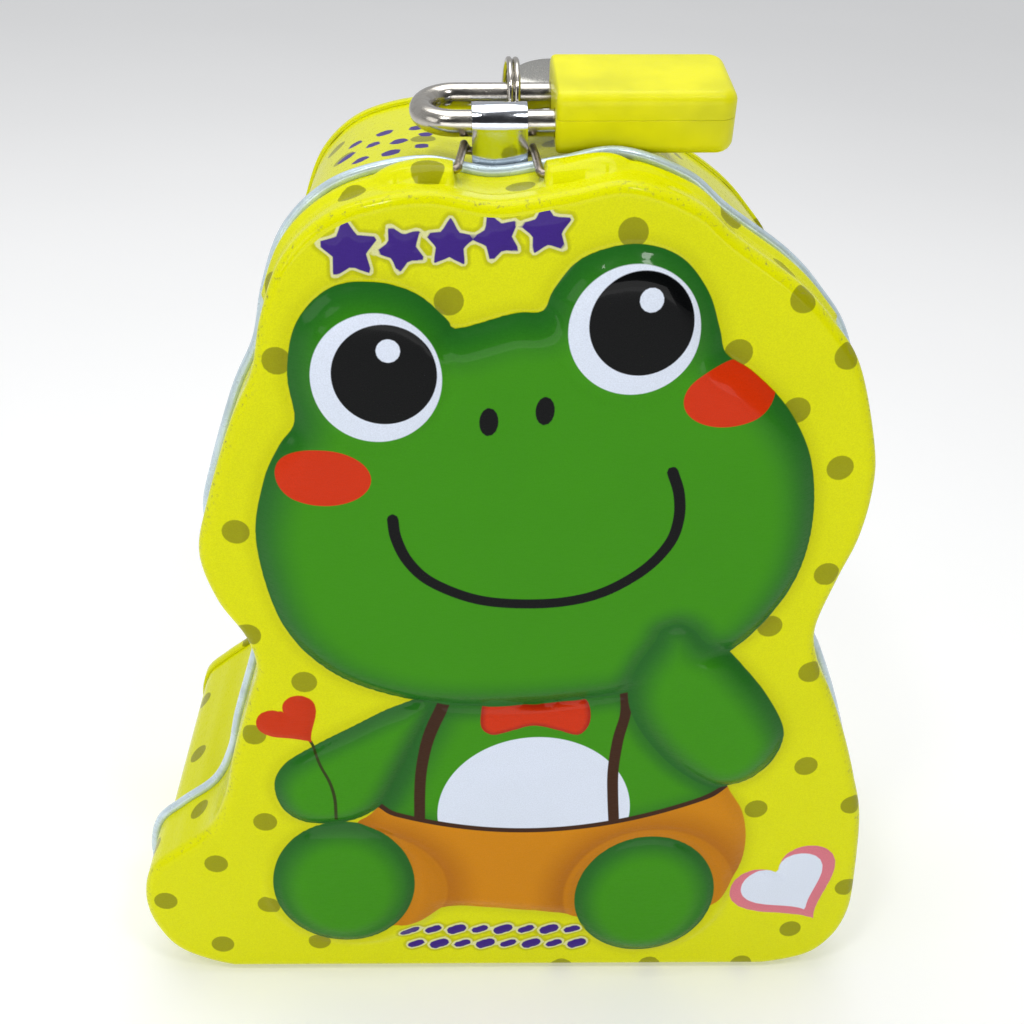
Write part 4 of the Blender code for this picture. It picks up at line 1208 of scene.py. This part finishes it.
def make_cover(name, side, material):
    """One moulded shell, from the parting line to its rounded face."""
    face = CASE_RISE + side * CASE_THICK / 2
    edge = 1.7
    levels = [(PARTING + side * 0.015, 0.06), (PARTING + side * 0.08, 0.0), (face - side * edge, 0.0)]
    for degrees in (10, 20, 30, 42, 54, 66, 78, 90):
        a = math.radians(degrees)
        levels.append((face - side * edge * (1 - math.sin(a)), edge * (1 - math.cos(a))))
    rings = []
    for z, inset in levels:
        plan = rounded_plan(
            CASE_START + inset * 0.3, CASE_START + CASE_LENGTH - inset, CASE_WIDTH / 2 - inset * 0.95,
            max(1.0 - inset * 0.3, 0.3), max(2.6 - inset, 0.6),
        )
        rings.append(np.column_stack([plan, np.full(len(plan), z)]))
    shell = fix_normals(sweep(name, rings, material, caps=True))
    inner = COVER_WALL
    half_width = CASE_WIDTH / 2 - inner
    middle = CASE_RISE
    low = (CASE_START + inner, CASE_MIDDLE - half_width, middle - CASE_THICK / 2 + inner)
    high = (CASE_START + CASE_LENGTH - inner, CASE_MIDDLE + half_width, middle + CASE_THICK / 2 - inner)
    hollow = box("hollow", low, high)
    bevel(hollow, 1.2, 3)
    apply_modifiers(hollow)
    cut(shell, fix_normals(hollow))
    for y in (0.0, LEG_SPACING):
        cut(shell, rod("leg_hole", (-4.0, y, 0.0), (3.0, y, 0.0), SHACKLE_RADIUS + 0.25))
    cut(shell, rod("key_mouth", (18.0, CASE_MIDDLE, 0.0), (30.0, CASE_MIDDLE, 0.0), 2.05))
    return into_place(smooth(fix_normals(shell), 32), LOCK)


# ---- Key ring and keys ---------------------------------------------------------------------------


def make_key_ring(material):
    turns, steps = 2, 56
    line = []
    for i in range(turns * steps + 1):
        angle = 2 * math.pi * i / steps
        x = RING_X + RING_PITCH * (i / steps - turns / 2)
        line.append((x, RING_Y + RING_RADIUS * math.cos(angle), RING_Z + RING_RADIUS * math.sin(angle)))
    return tube("split_ring", line, RING_WIRE, material, 14)


def make_key(name, ring_angle, swing, material):
    """A stamped key: round bow with its eye, a shouldered blade, cut teeth and a milled groove."""
    bow_x, bow_y, radius = 6.8, 3.6, 7.8
    low, high = 1.2, 6.0
    outline = []
    for degrees in np.linspace(20, 340, 64):
        a = math.radians(degrees)
        outline.append((bow_x + radius * math.cos(a), bow_y + radius * math.sin(a)))
    start = bow_x + radius
    blade_end = start + 13.0
    lower = [(start + 3.0, low)]
    for i, depth in enumerate((1.3, 0.8, 1.6, 1.0)):
        x = start + 3.0 + 2.4 * i
        lower += [(x + 0.25, low + depth), (x + 0.95, low + depth), (x + 1.2, low)]
        if i < 3:
            lower.append((x + 2.4, low))
    lower.append((blade_end - 0.8, low))
    tip = [(blade_end, low + 1.0), (blade_end, high - 1.2), (blade_end - 1.2, high)]
    outline += [(start + 0.2, low), *lower, *tip, (start + 0.2, high)]
    flat = np.array(outline)
    half = KEY_THICK / 2 - 0.05
    rings = [np.column_stack([flat, np.full(len(flat), z)]) for z in (-half, half)]
    key = fix_normals(sweep(name, rings, material, caps=True))
    cut(key, rod("eye", (0, 0, -3), (0, 0, 3), 1.55, 40))
    groove = box("groove", (start + 0.8, 3.7, half - 0.28), (blade_end + 2.0, 4.5, half + 1.0))
    cut(key, fix_normals(groove))
    bevel(key, 0.12, 2, 40)
    apply_modifiers(key)
    hole = Vector((
        RING_X,
        RING_Y + RING_RADIUS * math.cos(ring_angle),
        RING_Z + RING_RADIUS * math.sin(ring_angle),
    ))
    place = Matrix.Translation(hole * MM) @ Matrix.Rotation(KEY_TILT, 4, "X") @ Matrix.Rotation(swing, 4, "Z")
    return into_place(smooth(key, 35), place)


# ---- Camera, light and floor ---------------------------------------------------------------------


def make_camera():
    data = bpy.data.cameras.new("camera")
    data.sensor_width = 36.0
    data.lens = 43.97
    data.shift_x = -0.0257
    data.shift_y = 0.0241
    data.clip_start = 0.01
    data.clip_end = 50.0
    camera = bpy.data.objects.new("camera", data)
    camera.location = Vector((-16.0, -191.4, 193.6)) * MM
    camera.rotation_euler = [math.radians(v) for v in (59.03, -3.82, -3.55)]
    bpy.context.scene.collection.objects.link(camera)
    bpy.context.scene.camera = camera


def area_light(name, place, target, size, power, size_y=None):
    data = bpy.data.lights.new(name, "AREA")
    data.energy = power
    data.size = size * MM
    if size_y:
        data.shape = "RECTANGLE"
        data.size_y = size_y * MM
    light = bpy.data.objects.new(name, data)
    light.location = Vector(place) * MM
    aim = (Vector(target) - Vector(place)).to_track_quat("-Z", "Y")
    light.rotation_mode = "QUATERNION"
    light.rotation_quaternion = aim
    bpy.context.scene.collection.objects.link(light)


def make_stage():
    floor = new_object("floor", [(-4000, -4000, 0), (4000, -4000, 0), (4000, 4000, 0), (-4000, 4000, 0)],
                       [(0, 1, 2, 3)], floor_paint())
    bpy.context.scene.world = studio_world()
    centre = (0, 0, 80)
    area_light("overhead", (-60, 110, 760), centre, 560, 2.6)
    for side in (-1, 1):
        area_light(f"sparkle_{side}", (-30 + 210 * side, -330, 640), centre, 90, 0.7)
    area_light("front", (-60, -1150, 180), (0, 0, 110), 1500, 4.4, 420)
    area_light("left", (-700, -420, 380), centre, 360, 0.8)
    bpy.context.scene.view_settings.view_transform = "Standard"


def studio_world():
    """A dim room: soft grey overhead, dark in front above the camera."""
    world = bpy.data.worlds.new("studio")
    world.use_nodes = True
    tree = world.node_tree
    place = tree.nodes.new("ShaderNodeTexCoord")
    parts = tree.nodes.new("ShaderNodeSeparateXYZ")
    tree.links.new(place.outputs["Generated"], parts.inputs[0])
    ramp = tree.nodes.new("ShaderNodeMapRange")
    ramp.inputs["From Min"].default_value = -0.65
    ramp.inputs["From Max"].default_value = 0.1
    ramp.inputs["To Min"].default_value = 0.04
    ramp.inputs["To Max"].default_value = 0.55
    tree.links.new(parts.outputs["Y"], ramp.inputs["Value"])
    backdrop = tree.nodes.new("ShaderNodeMix")
    tree.links.new(tree.nodes.new("ShaderNodeLightPath").outputs["Is Camera Ray"], backdrop.inputs["Factor"])
    tree.links.new(ramp.outputs[0], backdrop.inputs["A"])
    backdrop.inputs["B"].default_value = 0.8
    tree.links.new(backdrop.outputs["Result"], tree.nodes["Background"].inputs["Strength"])
    tree.nodes["Background"].inputs["Color"].default_value = (0.95, 0.97, 1.0, 1.0)
    return world


# ---- Everything together -------------------------------------------------------------------------


def main():
    make_camera()
    make_stage()
    tin_inside = metal("tin_inside", (0.72, 0.71, 0.66), (0.5, 0.49, 0.44), 0.3, (1, 1, 0.2), 0.4)
    wall_print = printed_wall()
    lid = make_lid(printed_face(), tin_inside)
    ride(lid, "lid", "printed_tin", "front_lid")
    ride(make_bead(bead_paint()), "lid", "printed_tin", "front_lid")
    ride(make_wall(wall_print, tin_inside), "tin_body", "printed_tin", "body_wall")
    ride(make_back(wall_print, tin_inside), "tin_body", "printed_tin", "back_panel")

    chrome = metal("bright_plating", (0.62, 0.65, 0.7), (0.42, 0.44, 0.48), 0.1, (1, 1, 1), 0.8, 0.3, 0.1)
    wire_steel = metal(
        "tarnished_wire", (0.36, 0.31, 0.26), (0.16, 0.13, 0.1), 0.28,
        (1, 0.4, 1), 1.4, 0.8, 0.3,
    )
    nickel = metal("nickel_wire", (0.53, 0.5, 0.45), (0.34, 0.31, 0.27), 0.17, (0.3, 1, 1), 1.0, 0.5, 0.2)
    key_steel = metal("key_plating", (0.5, 0.49, 0.45), (0.32, 0.3, 0.27), 0.2, (2, 0.3, 2), 1.0, 0.5, 0.2)
    zinc = metal("zinc_cast", (0.5, 0.5, 0.52), (0.34, 0.34, 0.35), 0.42, (1, 1, 1), 1.5, 0.6, 0.5)
    brass = metal("brass_turned", (0.76, 0.58, 0.27), (0.5, 0.36, 0.16), 0.25, (5, 1, 1), 1.0, 0.5, 0.3)
    plain_tin = metal("tinplate", (0.76, 0.77, 0.78), (0.56, 0.56, 0.57), 0.24, (1, 0.2, 1), 0.8, 0.5, 0.2)

    ride(make_hasp(chrome), "tin_body", "hasp_plating", "hasp_plate")
    rivet_y = BARREL_Y - BARREL_BORE - HASP_SHEET / 2 + 7.0
    for side, x in (("left", -9.65), ("right", -5.65)):
        ride(make_rivet(f"rivet_{side}", x, rivet_y, nickel), "tin_body", "steel_wire", f"hasp_rivet_{side}")
    ride(make_bail(wire_steel), "bail", "steel_wire", "latch_bail")
    ride(make_shackle(nickel), "shackle", "nickel_plate", "shackle")
    plastic = padlock_plastic()
    ride(make_cover("case_upper", 1, plastic), "padlock_case", "yellow_plastic", "padlock_cover_upper")
    ride(make_cover("case_lower", -1, plastic), "padlock_case", "yellow_plastic", "padlock_cover_lower")
    ride(make_key_ring(nickel), "key_ring", "nickel_plate", "key_ring")
    lower = make_key("stamped_key_lower", math.radians(-13.0), 0.0, key_steel)
    upper = make_key("stamped_key_upper", 0.0, math.radians(-12.0), key_steel)
    ride(lower, "key_lower", "key_steel", "key_lower")
    ride(upper, "key_upper", "key_steel", "key_upper")

    carried = {
        "hinge_pin": wire_steel, "hinge_strap_left": plain_tin, "hinge_strap_right": plain_tin,
        "padlock_core": zinc, "lock_plug": brass, "lock_latch": zinc, "shackle_spring": nickel,
        "latch_spring": nickel,
    }
    for node, material in carried.items():
        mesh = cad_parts[node].data
        mesh.materials.clear()
        mesh.materials.append(material)


main()
